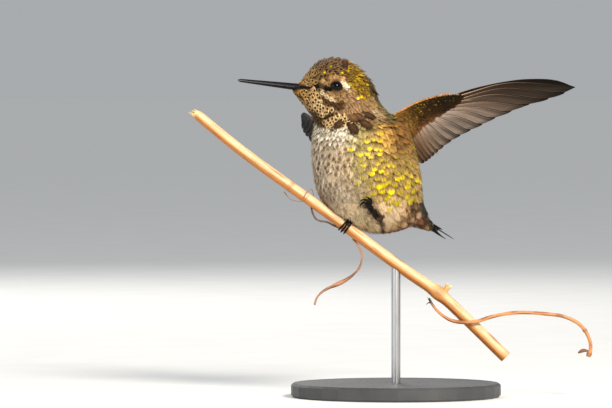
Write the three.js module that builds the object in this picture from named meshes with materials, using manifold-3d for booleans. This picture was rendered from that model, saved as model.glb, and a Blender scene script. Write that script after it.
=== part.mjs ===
// Anna's hummingbird, immature male, life size, on a short length of dry
// stem held by a plain display stand.
//
// Frame: millimetres, +Z up. The bill points towards -X and the left wing's
// tip towards +X; Y runs away from the side the breast is turned to. The
// origin is the centre of the underside of the stand's base. The bird is
// modelled whole as one smooth distance field (ellipsoids and round cones
// that flow into each other), turned into a mesh and parted by thin flat
// cuts into head, neck, trunk, thighs and rump.

import * as THREE from 'three';
import { mergeVertices } from 'three/addons/utils/BufferGeometryUtils.js';
import Module from 'manifold-3d';

const wasm = await Module();
wasm.setup();

// ---------------------------------------------------------------- dimensions
const GAP = 0.3;                    // clearance left between touching pieces
const DEG = Math.PI / 180;

// stand
const BASE_RADIUS = 30;
const BASE_HEIGHT = 4;
const BASE_BEVEL = 0.6;
const ROD_RADIUS = 1.3;

// attitude of the bird
const BODY_YAW = 40 * DEG;          // breast turned from -Y toward -X
const HEAD_YAW = 22 * DEG;          // bill turned from -X toward -Y
const HEAD_PITCH = 6.2 * DEG;       // bill raised

// head
const HEAD_CENTRE = [-17.6, -1.2, 88.5];
const SKULL = { forward: 8.8, side: 7.9, up: 8.3 };
const EYE_RADIUS = 1.9;
const EYE_FORWARD = 2.4;            // from the head's centre, along the bill
const EYE_UP = -0.12;
const EYE_SINK = 1.45;              // eye's centre below the feather surface
const BILL_LENGTH = 18.3;           // exposed culmen
const BILL_BASE_FORWARD = 11.4;     // bill base from the head's centre
const BILL_ROOT = 5.2;              // length hidden in the face feathers
const BILL_BASE_HEIGHT = 1.95;
const BILL_DROP = 1.22;               // bill axis below the head's centre
const BILL_BASE_WIDTH = 2.1;
const BILL_TIP_HEIGHT = 0.75;

// wings, measured in the wing's own plane: span outward, chord downward
const WING_STRETCH = 1.03;          // span factor on the wing's outline, 57 mm at 1
const WING_THICK = 0.6;
const PRIMARIES = 10;
const SECONDARIES = 6;

// tail
const TAIL_LENGTH = 30;
const TAIL_THICK = 0.6;
const RECTRICES = 10;

// legs
const TARSUS_RADIUS = 0.5;
const TOE_RADIUS = 0.36;
const CLAW_RADIUS = 0.27;

// perch
const STEM_RADIUS_THIN = 1.45;      // broken end
const STEM_RADIUS_THICK = 1.7;      // cut end

// ------------------------------------------------------------- small algebra
const add = (a, b) => [a[0] + b[0], a[1] + b[1], a[2] + b[2]];
const sub = (a, b) => [a[0] - b[0], a[1] - b[1], a[2] - b[2]];
const mul = (a, s) => [a[0] * s, a[1] * s, a[2] * s];
const dot = (a, b) => a[0] * b[0] + a[1] * b[1] + a[2] * b[2];
const cross = (a, b) => [a[1] * b[2] - a[2] * b[1], a[2] * b[0] - a[0] * b[2], a[0] * b[1] - a[1] * b[0]];
const norm = (a) => mul(a, 1 / Math.hypot(a[0], a[1], a[2]));
const mix = (a, b, t) => a + (b - a) * t;
const clamp = (x, a, b) => Math.min(b, Math.max(a, x));

// axes of the body and the head
const UP = [0, 0, 1];
const bodyF = [-Math.sin(BODY_YAW), -Math.cos(BODY_YAW), 0];
const bodyL = cross(UP, bodyF);
const headF = norm([-Math.cos(HEAD_YAW) * Math.cos(HEAD_PITCH), -Math.sin(HEAD_YAW) * Math.cos(HEAD_PITCH), Math.sin(HEAD_PITCH)]);
const headL = norm(cross(UP, headF));
const headU = cross(headF, headL);
const headPoint = (f, l, u) => add(HEAD_CENTRE, add(mul(headF, f), add(mul(headL, l), mul(headU, u))));

// ------------------------------------------------------------ distance field
const smin = (a, b, k) => { const h = Math.max(k - Math.abs(a - b), 0) / k; return Math.min(a, b) - h * h * k / 4; };

function ellipsoid(p, c, axes, r) {
  const d = sub(p, c);
  const q = [dot(d, axes[0]), dot(d, axes[1]), dot(d, axes[2])];
  const k0 = Math.hypot(q[0] / r[0], q[1] / r[1], q[2] / r[2]);
  const k1 = Math.hypot(q[0] / (r[0] * r[0]), q[1] / (r[1] * r[1]), q[2] / (r[2] * r[2]));
  return k1 < 1e-9 ? -Math.min(...r) : k0 * (k0 - 1) / k1;
}

function cone(p, a, b, ra, rb) {
  const ab = sub(b, a);
  const t = clamp(dot(sub(p, a), ab) / dot(ab, ab), 0, 1);
  const q = sub(p, add(a, mul(ab, t)));
  return Math.hypot(q[0], q[1], q[2]) - mix(ra, rb, t);
}

const BODY_AXES = [bodyF, bodyL, UP];
const HEAD_AXES = [headF, headL, headU];

// trunk: breast, belly and vent, leaning forward over the perch
const BREAST = { at: [-10.0, 2.8, 70.5], r: [14.4, 13.7, 13.2] };
const BELLY = { at: [-7.9, 5.4, 62.0], r: [15.4, 15.0, 14.0] };
const VENT = { at: [-2.6, 9.2, 54.6], r: [10.6, 9.6, 8.0] };
const BACK = { at: [-5.5, 8.6, 70.3], r: [9.5, 10.5, 9.0] };
// undertail: cone from the rump to the lower tail coverts
const RUMP_A = [0.5, 11.5, 55.8], RUMP_B = [9.6, 20.5, 48.5];
const RUMP_RA = 6.6, RUMP_RB = 1.7;
// shoulders, where the wings leave the body
const SHOULDER_L = [-2.2, 1.6, 77.0];
const SHOULDER_R = [-18.0, 9.6, 75.3];

function bodyField(p) {
  let d = ellipsoid(p, BREAST.at, BODY_AXES, BREAST.r);
  d = smin(d, ellipsoid(p, BELLY.at, BODY_AXES, BELLY.r), 5);
  d = smin(d, ellipsoid(p, VENT.at, BODY_AXES, VENT.r), 4);
  d = smin(d, ellipsoid(p, BACK.at, BODY_AXES, BACK.r), 4);
  d = smin(d, cone(p, RUMP_A, RUMP_B, RUMP_RA, RUMP_RB), 3);
  // neck and nape
  d = smin(d, cone(p, add(HEAD_CENTRE, [4.7, 1.9, -3.6]), [-13.0, 2.6, 75.3], 8.0, 10.0), 4);
  // shoulders
  d = smin(d, cone(p, add(SHOULDER_L, [-6, 0.5, -3]), add(SHOULDER_L, [5.5, 1.9, 1.6]), 4.4, 2.0), 2.2);
  d = smin(d, cone(p, add(SHOULDER_R, [4, -3, -2]), add(SHOULDER_R, [-1.0, 6.0, 0.9]), 4.4, 2.0), 2.2);
  return smin(d, headField(p), 3.5);
}

function headField(p) {
  let d = ellipsoid(p, HEAD_CENTRE, HEAD_AXES, [SKULL.forward, SKULL.side, SKULL.up]);
  // forehead and face running out onto the bill
  d = smin(d, cone(p, headPoint(3.6, 0, 0.2), headPoint(11.2, 0, -1.05), 6.0, 1.25), 2.5);
  // chin and throat
  d = smin(d, cone(p, headPoint(12.6, 0, -2.3), headPoint(1.95, 0, -5.0), 0.52, 6.3), 2.0);
  // cheeks
  d = smin(d, ellipsoid(p, headPoint(0.5, 4.0, -2.5), HEAD_AXES, [5.5, 4.2, 4.5]), 2.5);
  d = smin(d, ellipsoid(p, headPoint(0.5, -4.0, -2.5), HEAD_AXES, [5.5, 4.2, 4.5]), 2.5);
  return d;
}

// ------------------------------------------------- from a field to a surface
function surface(field, lo, hi, step) {
  const n = [0, 1, 2].map((i) => Math.ceil((hi[i] - lo[i]) / step) + 1);
  const idx = (i, j, k) => (k * n[1] + j) * n[0] + i;
  const val = new Float64Array(n[0] * n[1] * n[2]);
  for (let k = 0; k < n[2]; k++) for (let j = 0; j < n[1]; j++) for (let i = 0; i < n[0]; i++)
    val[idx(i, j, k)] = field([lo[0] + i * step, lo[1] + j * step, lo[2] + k * step]);
  const verts = [], cell = new Map(), tris = [];
  const corner = [[0, 0, 0], [1, 0, 0], [0, 1, 0], [1, 1, 0], [0, 0, 1], [1, 0, 1], [0, 1, 1], [1, 1, 1]];
  const edges = [[0, 1], [2, 3], [4, 5], [6, 7], [0, 2], [1, 3], [4, 6], [5, 7], [0, 4], [1, 5], [2, 6], [3, 7]];
  for (let k = 0; k < n[2] - 1; k++) for (let j = 0; j < n[1] - 1; j++) for (let i = 0; i < n[0] - 1; i++) {
    const v = corner.map((c) => val[idx(i + c[0], j + c[1], k + c[2])]);
    let s = [0, 0, 0], m = 0;
    for (const [a, b] of edges) if ((v[a] < 0) !== (v[b] < 0)) {
      const t = v[a] / (v[a] - v[b]);
      s = add(s, [0, 1, 2].map((q) => mix(corner[a][q], corner[b][q], t))); m++;
    }
    if (!m) continue;
    let p = [lo[0] + (i + s[0] / m) * step, lo[1] + (j + s[1] / m) * step, lo[2] + (k + s[2] / m) * step];
    for (let it = 0; it < 2; it++) {          // settle the point on the surface
      const e = 0.05, f = field(p);
      const g = [0, 1, 2].map((q) => { const a = [...p], b = [...p]; a[q] += e; b[q] -= e; return (field(a) - field(b)) / (2 * e); });
      const g2 = dot(g, g);
      if (g2 > 1e-6) { const mv = mul(g, -clamp(f / g2, -step * 0.3, step * 0.3)); p = add(p, mv); }
    }
    cell.set(idx(i, j, k), verts.length); verts.push(p);
  }
  const quad = (a, b, c, d, flip) => {
    const q = flip ? [a, d, c, b] : [a, b, c, d];
    const l02 = Math.hypot(...sub(verts[q[0]], verts[q[2]])), l13 = Math.hypot(...sub(verts[q[1]], verts[q[3]]));
    if (l02 <= l13) tris.push([q[0], q[1], q[2]], [q[0], q[2], q[3]]);
    else tris.push([q[0], q[1], q[3]], [q[1], q[2], q[3]]);
  };
  for (let k = 1; k < n[2] - 1; k++) for (let j = 1; j < n[1] - 1; j++) for (let i = 1; i < n[0] - 1; i++) {
    const v = val[idx(i, j, k)] < 0;
    const g = (a, b, c) => cell.get(idx(a, b, c));
    if (v !== (val[idx(i + 1, j, k)] < 0)) quad(g(i, j - 1, k - 1), g(i, j, k - 1), g(i, j, k), g(i, j - 1, k), !v);
    if (v !== (val[idx(i, j + 1, k)] < 0)) quad(g(i - 1, j, k - 1), g(i - 1, j, k), g(i, j, k), g(i, j, k - 1), !v);
    if (v !== (val[idx(i, j, k + 1)] < 0)) quad(g(i - 1, j - 1, k), g(i, j - 1, k), g(i, j, k), g(i - 1, j, k), !v);
  }
  return geometryOf(verts, tris);
}

function geometryOf(verts, tris) {
  const g = new THREE.BufferGeometry();
  g.setAttribute('position', new THREE.Float32BufferAttribute(verts.flat(), 3));
  g.setIndex(tris.flat());
  return g;
}

// ------------------------------------------------------------- solid algebra
function solid(geometry) {
  let g = geometry.clone();
  for (const k of Object.keys(g.attributes)) if (k !== 'position') g.deleteAttribute(k);
  g = mergeVertices(g, 1e-4);
  const tri = Array.from(g.index.array);
  const keep = [];
  for (let i = 0; i < tri.length; i += 3) {
    const [a, b, c] = [tri[i], tri[i + 1], tri[i + 2]];
    if (a !== b && b !== c && a !== c) keep.push(a, b, c);
  }
  return new wasm.Manifold(new wasm.Mesh({
    numProp: 3,
    vertProperties: new Float32Array(g.attributes.position.array),
    triVerts: new Uint32Array(keep),
  }));
}

function fromSolid(m) {
  const mesh = m.getMesh();
  const pos = [];
  for (let i = 0; i < mesh.vertProperties.length; i += mesh.numProp) pos.push(mesh.vertProperties[i], mesh.vertProperties[i + 1], mesh.vertProperties[i + 2]);
  const g = new THREE.BufferGeometry();
  g.setAttribute('position', new THREE.Float32BufferAttribute(pos, 3));
  g.setIndex(Array.from(mesh.triVerts));
  return g;
}

// largest connected piece of a solid
function mainPiece(m) {
  const parts = m.decompose();
  let best = parts[0], vol = -1;
  for (const p of parts) { const v = Math.abs(p.volume()); if (v > vol) { vol = v; best = p; } }
  return best;
}

// big box whose one face is the plane through point with the given normal,
// lying on the side the normal points to
function halfSpace(point, normal, size = 240) {
  const g = new THREE.BoxGeometry(size, size, size);
  g.translate(0, 0, size / 2);
  g.applyQuaternion(new THREE.Quaternion().setFromUnitVectors(new THREE.Vector3(0, 0, 1), new THREE.Vector3(...norm(normal))));
  g.translate(...point);
  return solid(g);
}

// the two sides of a thin flat cut
function part(m, point, normal) {
  const n = norm(normal);
  return [m.intersect(halfSpace(add(point, mul(n, GAP / 2)), n)), m.intersect(halfSpace(add(point, mul(n, -GAP / 2)), mul(n, -1)))];
}

// tube of changing radius along a curve, closed at both ends
function sweep(points, radius, segments, sides, flat = 1, upHint = null) {
  const curve = new THREE.CatmullRomCurve3(points.map((p) => new THREE.Vector3(...p)), false, 'centripetal');
  const verts = [], tris = [];
  let side = null;
  for (let i = 0; i <= segments; i++) {
    const t = i / segments;
    const c = curve.getPointAt(t), d = curve.getTangentAt(t).normalize();
    if (!side) {
      const ref = upHint ? new THREE.Vector3(...upHint) : (Math.abs(d.z) < 0.9 ? new THREE.Vector3(0, 0, 1) : new THREE.Vector3(1, 0, 0));
      side = new THREE.Vector3().crossVectors(d, ref).normalize();
    } else side.addScaledVector(d, -side.dot(d)).normalize();
    const nrm = new THREE.Vector3().crossVectors(side, d).normalize();
    const r = typeof radius === 'function' ? radius(t) : radius;
    for (let j = 0; j < sides; j++) {
      const a = (j / sides) * 2 * Math.PI;
      verts.push([
        c.x + side.x * Math.cos(a) * r + nrm.x * Math.sin(a) * r * flat,
        c.y + side.y * Math.cos(a) * r + nrm.y * Math.sin(a) * r * flat,
        c.z + side.z * Math.cos(a) * r + nrm.z * Math.sin(a) * r * flat,
      ]);
    }
  }
  for (let i = 0; i < segments; i++) for (let j = 0; j < sides; j++) {
    const a = i * sides + j, b = i * sides + (j + 1) % sides, c = a + sides, d = b + sides;
    tris.push([a, b, d], [a, d, c]);
  }
  const c0 = verts.length; verts.push([0, 1, 2].map((q) => { let s = 0; for (let j = 0; j < sides; j++) s += verts[j][q]; return s / sides; }));
  for (let j = 0; j < sides; j++) tris.push([c0, (j + 1) % sides, j]);
  const o = segments * sides;
  const c1 = verts.length; verts.push([0, 1, 2].map((q) => { let s = 0; for (let j = 0; j < sides; j++) s += verts[o + j][q]; return s / sides; }));
  for (let j = 0; j < sides; j++) tris.push([c1, o + j, o + (j + 1) % sides]);
  const g = geometryOf(verts, tris);
  return outward(g);
}

// turn a closed geometry's faces outward
function outward(g) {
  const p = g.attributes.position, ix = g.index.array;
  let v = 0;
  const at = (i) => [p.getX(i), p.getY(i), p.getZ(i)];
  for (let i = 0; i < ix.length; i += 3) v += dot(at(ix[i]), cross(at(ix[i + 1]), at(ix[i + 2])));
  if (v < 0) {
    const r = [];
    for (let i = 0; i < ix.length; i += 3) r.push(ix[i], ix[i + 2], ix[i + 1]);
    g.setIndex(r);
  }
  return g;
}

// sheet of given thickness over a grid of points: rows from one edge to the
// other, columns along it
function slab(point, thick, nu, nv) {
  const verts = [], tris = [];
  for (let s = 0; s < 2; s++) for (let i = 0; i <= nu; i++) for (let j = 0; j <= nv; j++) {
    const u = i / nu, v = j / nv, { p, n } = point(u, v);
    verts.push(add(p, mul(n, (s ? 0.5 : -0.5) * thick(u, v))));
  }
  const at = (s, i, j) => (s * (nu + 1) + i) * (nv + 1) + j;
  const q = (a, b, c, d) => tris.push([a, b, c], [a, c, d]);
  for (let i = 0; i < nu; i++) for (let j = 0; j < nv; j++) {
    q(at(0, i, j), at(0, i, j + 1), at(0, i + 1, j + 1), at(0, i + 1, j));
    q(at(1, i, j), at(1, i + 1, j), at(1, i + 1, j + 1), at(1, i, j + 1));
  }
  for (let i = 0; i < nu; i++) {
    q(at(0, i, 0), at(0, i + 1, 0), at(1, i + 1, 0), at(1, i, 0));
    q(at(0, i + 1, nv), at(0, i, nv), at(1, i, nv), at(1, i + 1, nv));
  }
  for (let j = 0; j < nv; j++) {
    q(at(0, 0, j + 1), at(0, 0, j), at(1, 0, j), at(1, 0, j + 1));
    q(at(0, nu, j), at(0, nu, j + 1), at(1, nu, j + 1), at(1, nu, j));
  }
  return outward(geometryOf(verts, tris));
}

// --------------------------------------------------------------------- scene
const hummingbird = new THREE.Group();
function addMesh(name, geometry, color, roughness = 0.8, metalness = 0) {
  const mesh = new THREE.Mesh(geometry, new THREE.MeshStandardMaterial({ color, roughness, metalness }));
  mesh.name = name;
  hummingbird.add(mesh);
  return mesh;
}

// ---------------------------------------------------------------------- bill
// half-round mandibles on one straight axis, from the tip back into the face
const billTipForward = BILL_BASE_FORWARD + BILL_LENGTH;
const billRootForward = BILL_BASE_FORWARD - BILL_ROOT;
function billSize(f) {                        // half width, half height
  const t = clamp((billTipForward - f) / BILL_LENGTH, 0, 1.35);
  const e = Math.sqrt(clamp(t / 0.05, 0.02, 1));
  return [mix(0.34, BILL_BASE_WIDTH / 2, Math.pow(t, 1.15)) * e, mix(BILL_TIP_HEIGHT / 2, BILL_BASE_HEIGHT / 2, Math.pow(t, 0.9)) * e];
}
function mandible(upper, grow = 0) {
  const rings = grow > 0 ? 6 : 10, sides = 6, seam = 0.06, verts = [], tris = [];
  const f0 = billTipForward + grow, f1 = billRootForward - grow;
  for (let i = 0; i <= rings; i++) {
    const t = i / rings, f = f0 + (f1 - f0) * Math.pow(t, 1.25);
    const [w, h] = billSize(f);
    for (let j = 0; j <= sides; j++) {
      const a = (j / sides) * Math.PI;
      const c = Math.cos(a) * (w + grow), s = Math.sin(a) * (h + grow);
      verts.push(headPoint(f, c, -BILL_DROP + (upper ? seam + s : -seam - s * 0.92)));
    }
  }
  const m = sides + 1;
  for (let i = 0; i < rings; i++) for (let j = 0; j < m; j++) {
    const a = i * m + j, b = i * m + (j + 1) % m;
    tris.push([a, b, b + m], [a, b + m, a + m]);
  }
  for (let j = 1; j < sides; j++) { tris.push([0, j + 1, j]); const o = rings * m; tris.push([o, o + j, o + j + 1]); }
  return outward(geometryOf(verts, tris));
}

// ---------------------------------------------------------------------- eyes
function eyeCentre(side) {
  let l = 14;
  while (l > 0 && bodyField(headPoint(EYE_FORWARD, side * l, EYE_UP)) > 0) l -= 0.02;
  return headPoint(EYE_FORWARD, side * (l - EYE_SINK), EYE_UP);
}
const EYES = { eye_left: eyeCentre(1), eye_right: eyeCentre(-1) };
function ball(centre, r, nw = 12, nh = 8) {
  const g = new THREE.SphereGeometry(r, nw, nh);
  g.translate(...centre);
  return g;
}

// --------------------------------------------------------------------- wings
// Each wing lies in its own frame: span s outward from the shoulder, t up
// toward the leading edge. The flight feathers fill a patch between a root
// line, a leading edge, a tip line and an inner edge.
const curve2 = (pts) => { const c = new THREE.CatmullRomCurve3(pts.map(([x, y]) => new THREE.Vector3(x, y, 0)), false, 'centripetal'); return (u) => { const p = c.getPointAt(clamp(u, 0, 1)); return [p.x, p.y]; }; };
const armEdge = curve2([[-1.5, -1.6], [3.9, 1.3], [8.1, 4.3], [12.3, 5.9], [17.4, 6.5]]);   // leading edge over arm and hand
const rootLine = curve2([[6.4, -9.4], [10.2, -5.6], [12.6, -2.0], [14.4, 2.4], [17.4, 5.6]]);
const outerEdge = curve2([[17.6, 6.3], [21.6, 7.4], [27.0, 8.7], [33.3, 9.9], [39.6, 10.7], [46.0, 10.8], [50.8, 10.4], [54.6, 9.3], [57.0, 8.7]]);
const tipLine = curve2([[12.0, -13.3], [16.5, -10.0], [21.5, -6.2], [27.5, -3.2], [33.5, -0.3], [37.0, 1.4], [43.0, 3.4], [49.5, 5.0], [53.5, 6.8], [57.0, 8.7]]);
const innerEdge = curve2([[6.4, -9.4], [8.9, -11.8], [12.0, -13.3]]);
const FLIGHT = PRIMARIES + SECONDARIES;
const scallop = (u) => { const f = u * FLIGHT - Math.floor(u * FLIGHT - 1e-9); return u > 0.99 || u < 0.01 ? 0 : 0.035 * Math.pow(Math.abs(2 * f - 1), 1.6); };

function flightPatch(u, v) {
  const R = rootLine(u), T = tipLine(u), I = innerEdge(v), E = outerEdge(v);
  const R0 = rootLine(0), R1 = rootLine(1), T0 = tipLine(0), T1 = tipLine(1);
  return [0, 1].map((q) => (1 - v) * R[q] + v * T[q] + (1 - u) * I[q] + u * E[q]
    - ((1 - u) * (1 - v) * R0[q] + u * (1 - v) * R1[q] + (1 - u) * v * T0[q] + u * v * T1[q]));
}

// frame of one wing: origin, span direction, dihedral angle, side of the back
function wingFrame(origin, azimuth, dihedral, twist, mirror) {
  const out = [Math.cos(azimuth), Math.sin(azimuth), 0];
  const s = add(mul(out, Math.cos(dihedral)), mul(UP, Math.sin(dihedral)));
  const t = add(mul(out, -Math.sin(dihedral)), mul(UP, Math.cos(dihedral)));
  const b = mul(cross(s, t), mirror);          // toward the upper side
  const chord = add(mul(t, Math.cos(twist)), mul(b, Math.sin(twist)));
  const back = add(mul(b, Math.cos(twist)), mul(t, -Math.sin(twist)));
  return { origin, s, t: chord, back };
}
const CAMBER = 1.6;
function wingPoint(frame, [s, t], v = 0) {
  const lift = CAMBER * Math.sin(Math.PI * clamp(v, 0, 1)) + 0.0009 * s * s;
  return add(frame.origin, add(mul(frame.s, s * WING_STRETCH), add(mul(frame.t, t), mul(frame.back, lift))));
}
const WINGS = {
  left: wingFrame([-3.1, 1.2, 79.9], 18 * DEG, 0, 0, -1),
  right: wingFrame([-19.3, 9.6, 74.9], 98.8 * DEG, -6.5 * DEG, -12 * DEG, 1),
};

function flightPlate(frame, u0, u1, n, thick, grow = 0) {
  const cut = 0.5 * GAP / 30;
  const a = u0 > 0 ? u0 + cut - grow * 0.02 : u0 - grow * 0.02, b = u1 < 1 ? u1 - cut + grow * 0.02 : u1;
  return slab((u, v) => {
    const uu = mix(a, b, u), reach = 1 - scallop(uu);
    const vv = mix(0.035 - grow * 0.06, reach, v);
    const q = flightPatch(clamp(uu, 0, 1), vv);
    return { p: wingPoint(frame, q, vv), n: frame.back };
  }, () => thick + 2 * grow, n, 3);
}

function armSolid(frame, grow = 0) {
  // from the leading edge down to the root line, lens-shaped in section
  return slab((u, v) => {
    const A = armEdge(mix(0.17, 1, u)), B = rootLine(mix(0.05, 1, Math.pow(u, 0.8)));
    const w = mix(-grow * 0.05, 0.965 + grow * 0.03, v);
    const q = [mix(A[0], B[0], w), mix(A[1], B[1], w)];
    return { p: wingPoint(frame, q, 0), n: frame.back };
  }, (u, v) => (mix(3.2, 0.9, Math.pow(u, 0.7)) * Math.pow(Math.max(0, 1 - Math.pow(2 * v - 1, 2)), 0.5) + 0.62 + 2 * grow), 9, 4);
}

// ---------------------------------------------------------------------- tail
// closed fan of tail feathers, held nearly level and seen almost edge on
const TAIL_BASE = [2.2, 15.0, 52.6];
const TAIL_DIR = norm([Math.sin(BODY_YAW) * Math.cos(22 * DEG), Math.cos(BODY_YAW) * Math.cos(22 * DEG), -Math.sin(22 * DEG)]);
const TAIL_ROLL = 12 * DEG;
const tailSide0 = norm(cross(UP, TAIL_DIR));
const tailUp0 = cross(TAIL_DIR, tailSide0);
const tailSide = add(mul(tailSide0, Math.cos(TAIL_ROLL)), mul(tailUp0, Math.sin(TAIL_ROLL)));
const tailUp = cross(TAIL_DIR, tailSide);
function tailPlate(grow = 0) {
  const nu = RECTRICES * 2;
  return slab((u, v) => {
    const a = 2 * u - 1;                        // across the fan, -1 to 1
    const f = u * RECTRICES - Math.floor(u * RECTRICES - 1e-9);
    const reach = (TAIL_LENGTH - 9) * (1 - 0.07 * (1 - a * a)) * (1 - 0.035 * Math.pow(Math.abs(2 * f - 1), 1.5));
    const d = mix(-grow, reach, v);
    const half = mix(2.4, 4.8, Math.pow(v, 0.8)) + grow;
    return { p: add(TAIL_BASE, add(mul(TAIL_DIR, d), add(mul(tailSide, a * half), mul(tailUp, -0.9 * a * a + 0.9)))), n: tailUp };
  }, () => TAIL_THICK + 2 * grow, nu, 2);
}

// --------------------------------------------------------------------- perch
const STEM = [[-57.6, 0, 81.3], [-44.6, 0, 70.7], [-31.4, 0, 61.0], [-19.1, 0, 52.3], [-6.2, 0, 42.6], [3.9, 0, 35.3], [12.6, 0, 29.3], [21.1, 0, 21.4], [29.5, 0, 13.2], [31.4, 0, 11.4]];
const stemCurve = new THREE.CatmullRomCurve3(STEM.map((p) => new THREE.Vector3(...p)), false, 'centripetal');
const stemKnot = 0.765;                        // place of the knot along the stem
const stemRadius = (t) => mix(STEM_RADIUS_THIN, STEM_RADIUS_THICK, t) + 0.45 * Math.exp(-Math.pow((t - stemKnot) / 0.018, 2)) - 0.3 * Math.pow(clamp(1 - t / 0.03, 0, 1), 2);
const stemSweep = (grow, segs = 18, sides = 9) => sweep(STEM, (t) => stemRadius(t) + grow, segs, sides);

// nearest point of the stem to a given x, with its direction
function stemAt(x) {
  let lo = 0, hi = 1;
  for (let i = 0; i < 40; i++) { const m = (lo + hi) / 2; if (stemCurve.getPointAt(m).x < x) lo = m; else hi = m; }
  const p = stemCurve.getPointAt(lo), d = stemCurve.getTangentAt(lo);
  return { t: lo, p: [p.x, p.y, p.z], d: norm([d.x, d.y, d.z]), r: stemRadius(lo) };
}

// ---------------------------------------------------------------------- legs
// right foot grips the stem; its toes are arcs round it
const grip = stemAt(-14.1);
const gripUp = norm(cross([0, 1, 0], grip.d)).map((v) => -v);
const gripTop = gripUp[2] > 0 ? gripUp : mul(gripUp, -1);
const TOE_ORBIT = grip.r + GAP + TOE_RADIUS;
const onStem = (angle, along, radius) => add(grip.p, add(mul(grip.d, along), add(mul(gripTop, Math.cos(angle) * radius), [0, -Math.sin(angle) * radius, 0])));
const arc = (a0, a1, along0, along1, radius, n = 7) => Array.from({ length: n }, (_, i) => onStem(mix(a0, a1, i / (n - 1)) * DEG, mix(along0, along1, i / (n - 1)), radius));
const JOINT_R = onStem(-42 * DEG, 0.1, TOE_ORBIT + 0.35);
const ANKLE_R = [-12.6, 4.8, 54.6];
const TOES_R = [
  { name: 'inner', path: [JOINT_R, ...arc(-8, 142, -0.75, -1.35, TOE_ORBIT)], claw: arc(150, 190, -1.35, -1.4, TOE_ORBIT) },
  { name: 'middle', path: [JOINT_R, ...arc(-12, 146, -0.25, -0.45, TOE_ORBIT)], claw: arc(154, 194, -0.45, -0.45, TOE_ORBIT) },
  { name: 'outer', path: [JOINT_R, ...arc(-8, 136, 0.3, 0.45, TOE_ORBIT)], claw: arc(144, 180, 0.45, 0.5, TOE_ORBIT) },
  { name: 'rear', path: [JOINT_R, ...arc(-62, -118, 0.2, 0.3, TOE_ORBIT)], claw: arc(-127, -158, 0.35, 0.4, TOE_ORBIT) },
];

// left foot, drawn up against the belly with its toes closed
function frontOf(x, z, clear) {                 // y just outside the breast
  let y = -32;
  while (y < 30 && bodyField([x, y, z]) > clear) y += 0.05;
  return [x, y, z];
}
const JOINT_L = frontOf(-7.7, 54.3, 1.05);
const ANKLE_L = add(frontOf(-4.6, 51.1, 0.2), [0, 0.6, 0]);
const curl = (dx, dz, c) => frontOf(-7.7 + 0.9 * dx, 54.3 + 0.85 * dz, c);
const TOES_L = [
  { name: 'inner', path: [JOINT_L, curl(-0.9, 1.0, 1.05), curl(-1.6, 1.75, 1.2), curl(-2.35, 1.5, 1.3)], claw: [curl(-2.75, 1.1, 1.3), curl(-2.95, 0.5, 1.15), curl(-2.75, -0.1, 0.75)] },
  { name: 'middle', path: [JOINT_L, curl(-0.3, 1.4, 1.1), curl(-0.8, 2.5, 1.2), curl(-1.75, 2.75, 1.3)], claw: [curl(-2.3, 2.6, 1.3), curl(-2.8, 2.3, 1.2), curl(-3.1, 1.8, 0.85)] },
  { name: 'outer', path: [JOINT_L, curl(0.4, 1.4, 1.1), curl(0.55, 2.5, 1.15), curl(-0.05, 3.1, 1.3)], claw: [curl(-0.55, 3.45, 1.3), curl(-1.1, 3.6, 1.2), curl(-1.6, 3.55, 0.85)] },
  { name: 'rear', path: [JOINT_L, curl(0.75, 0.2, 1.2), curl(1.0, -0.6, 1.2), curl(0.7, -1.4, 1.2)], claw: [curl(0.35, -1.85, 1.2), curl(-0.1, -2.2, 1.1), curl(-0.55, -2.35, 0.8)] },
];
function footSolid(ankle, joint, toes, grow = 0) {
  let m = solid(sweep([ankle, [0, 1, 2].map((q) => mix(ankle[q], joint[q], 0.5)), joint], (t) => TARSUS_RADIUS + 0.06 * Math.pow(2 * t - 1, 2) + grow, 2, 8));
  m = m.add(solid(ball(joint, TARSUS_RADIUS + 0.14 + grow, 7, 5)));
  for (const toe of toes) m = m.add(solid(sweep(toe.path, (t) => mix(TOE_RADIUS + 0.03, TOE_RADIUS - 0.04, t) + grow, 5, 5)));
  return m;
}
const clawSweep = (path, grow = 0) => sweep(path, (t) => mix(CLAW_RADIUS, 0.1, Math.pow(t, 1.3)) + grow, 4, 5);

// ---------------------------------------------------------- flesh, then parts
const LO = [-36, -18, 43], HI = [20, 30, 101];
const coarse = solid(surface(bodyField, LO, HI, 2.9));
const fine = solid(surface((p) => Math.max(bodyField(p), 74 - p[2]), [-36, -16, 71], [11, 22, 101], 1.75));

// neck cuts: below the face and throat, and above the shoulders
const HEAD_CUT = { at: [-15.5, 0.5, 81.2], normal: norm([-0.42, -0.28, 0.86]) };
const NECK_CUT = { at: [-13.0, 2.2, 76.6], normal: norm([-0.16, -0.12, 0.98]) };
let head = part(fine, HEAD_CUT.at, HEAD_CUT.normal)[0];
let neck = part(part(coarse, HEAD_CUT.at, HEAD_CUT.normal)[1], NECK_CUT.at, NECK_CUT.normal)[0];
let trunk = part(coarse, NECK_CUT.at, NECK_CUT.normal)[1];
// shoulders stay with the trunk
neck = mainPiece(neck);

// rump and tail coverts
const RUMP_CUT = { at: [0.6, 12.2, 55.0], normal: norm([0.60, 0.74, -0.30]) };
let rump;
{
  const box = new THREE.BoxGeometry(30, 30, 30); box.translate(0, 0, 15);
  box.applyQuaternion(new THREE.Quaternion().setFromUnitVectors(new THREE.Vector3(0, 0, 1), new THREE.Vector3(...RUMP_CUT.normal)));
  const near = box.clone().translate(...add(RUMP_CUT.at, mul(RUMP_CUT.normal, GAP / 2)));
  const far = box.clone().translate(...add(RUMP_CUT.at, mul(RUMP_CUT.normal, -GAP / 2)));
  rump = trunk.intersect(solid(near));
  trunk = trunk.subtract(solid(far));
}

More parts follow.
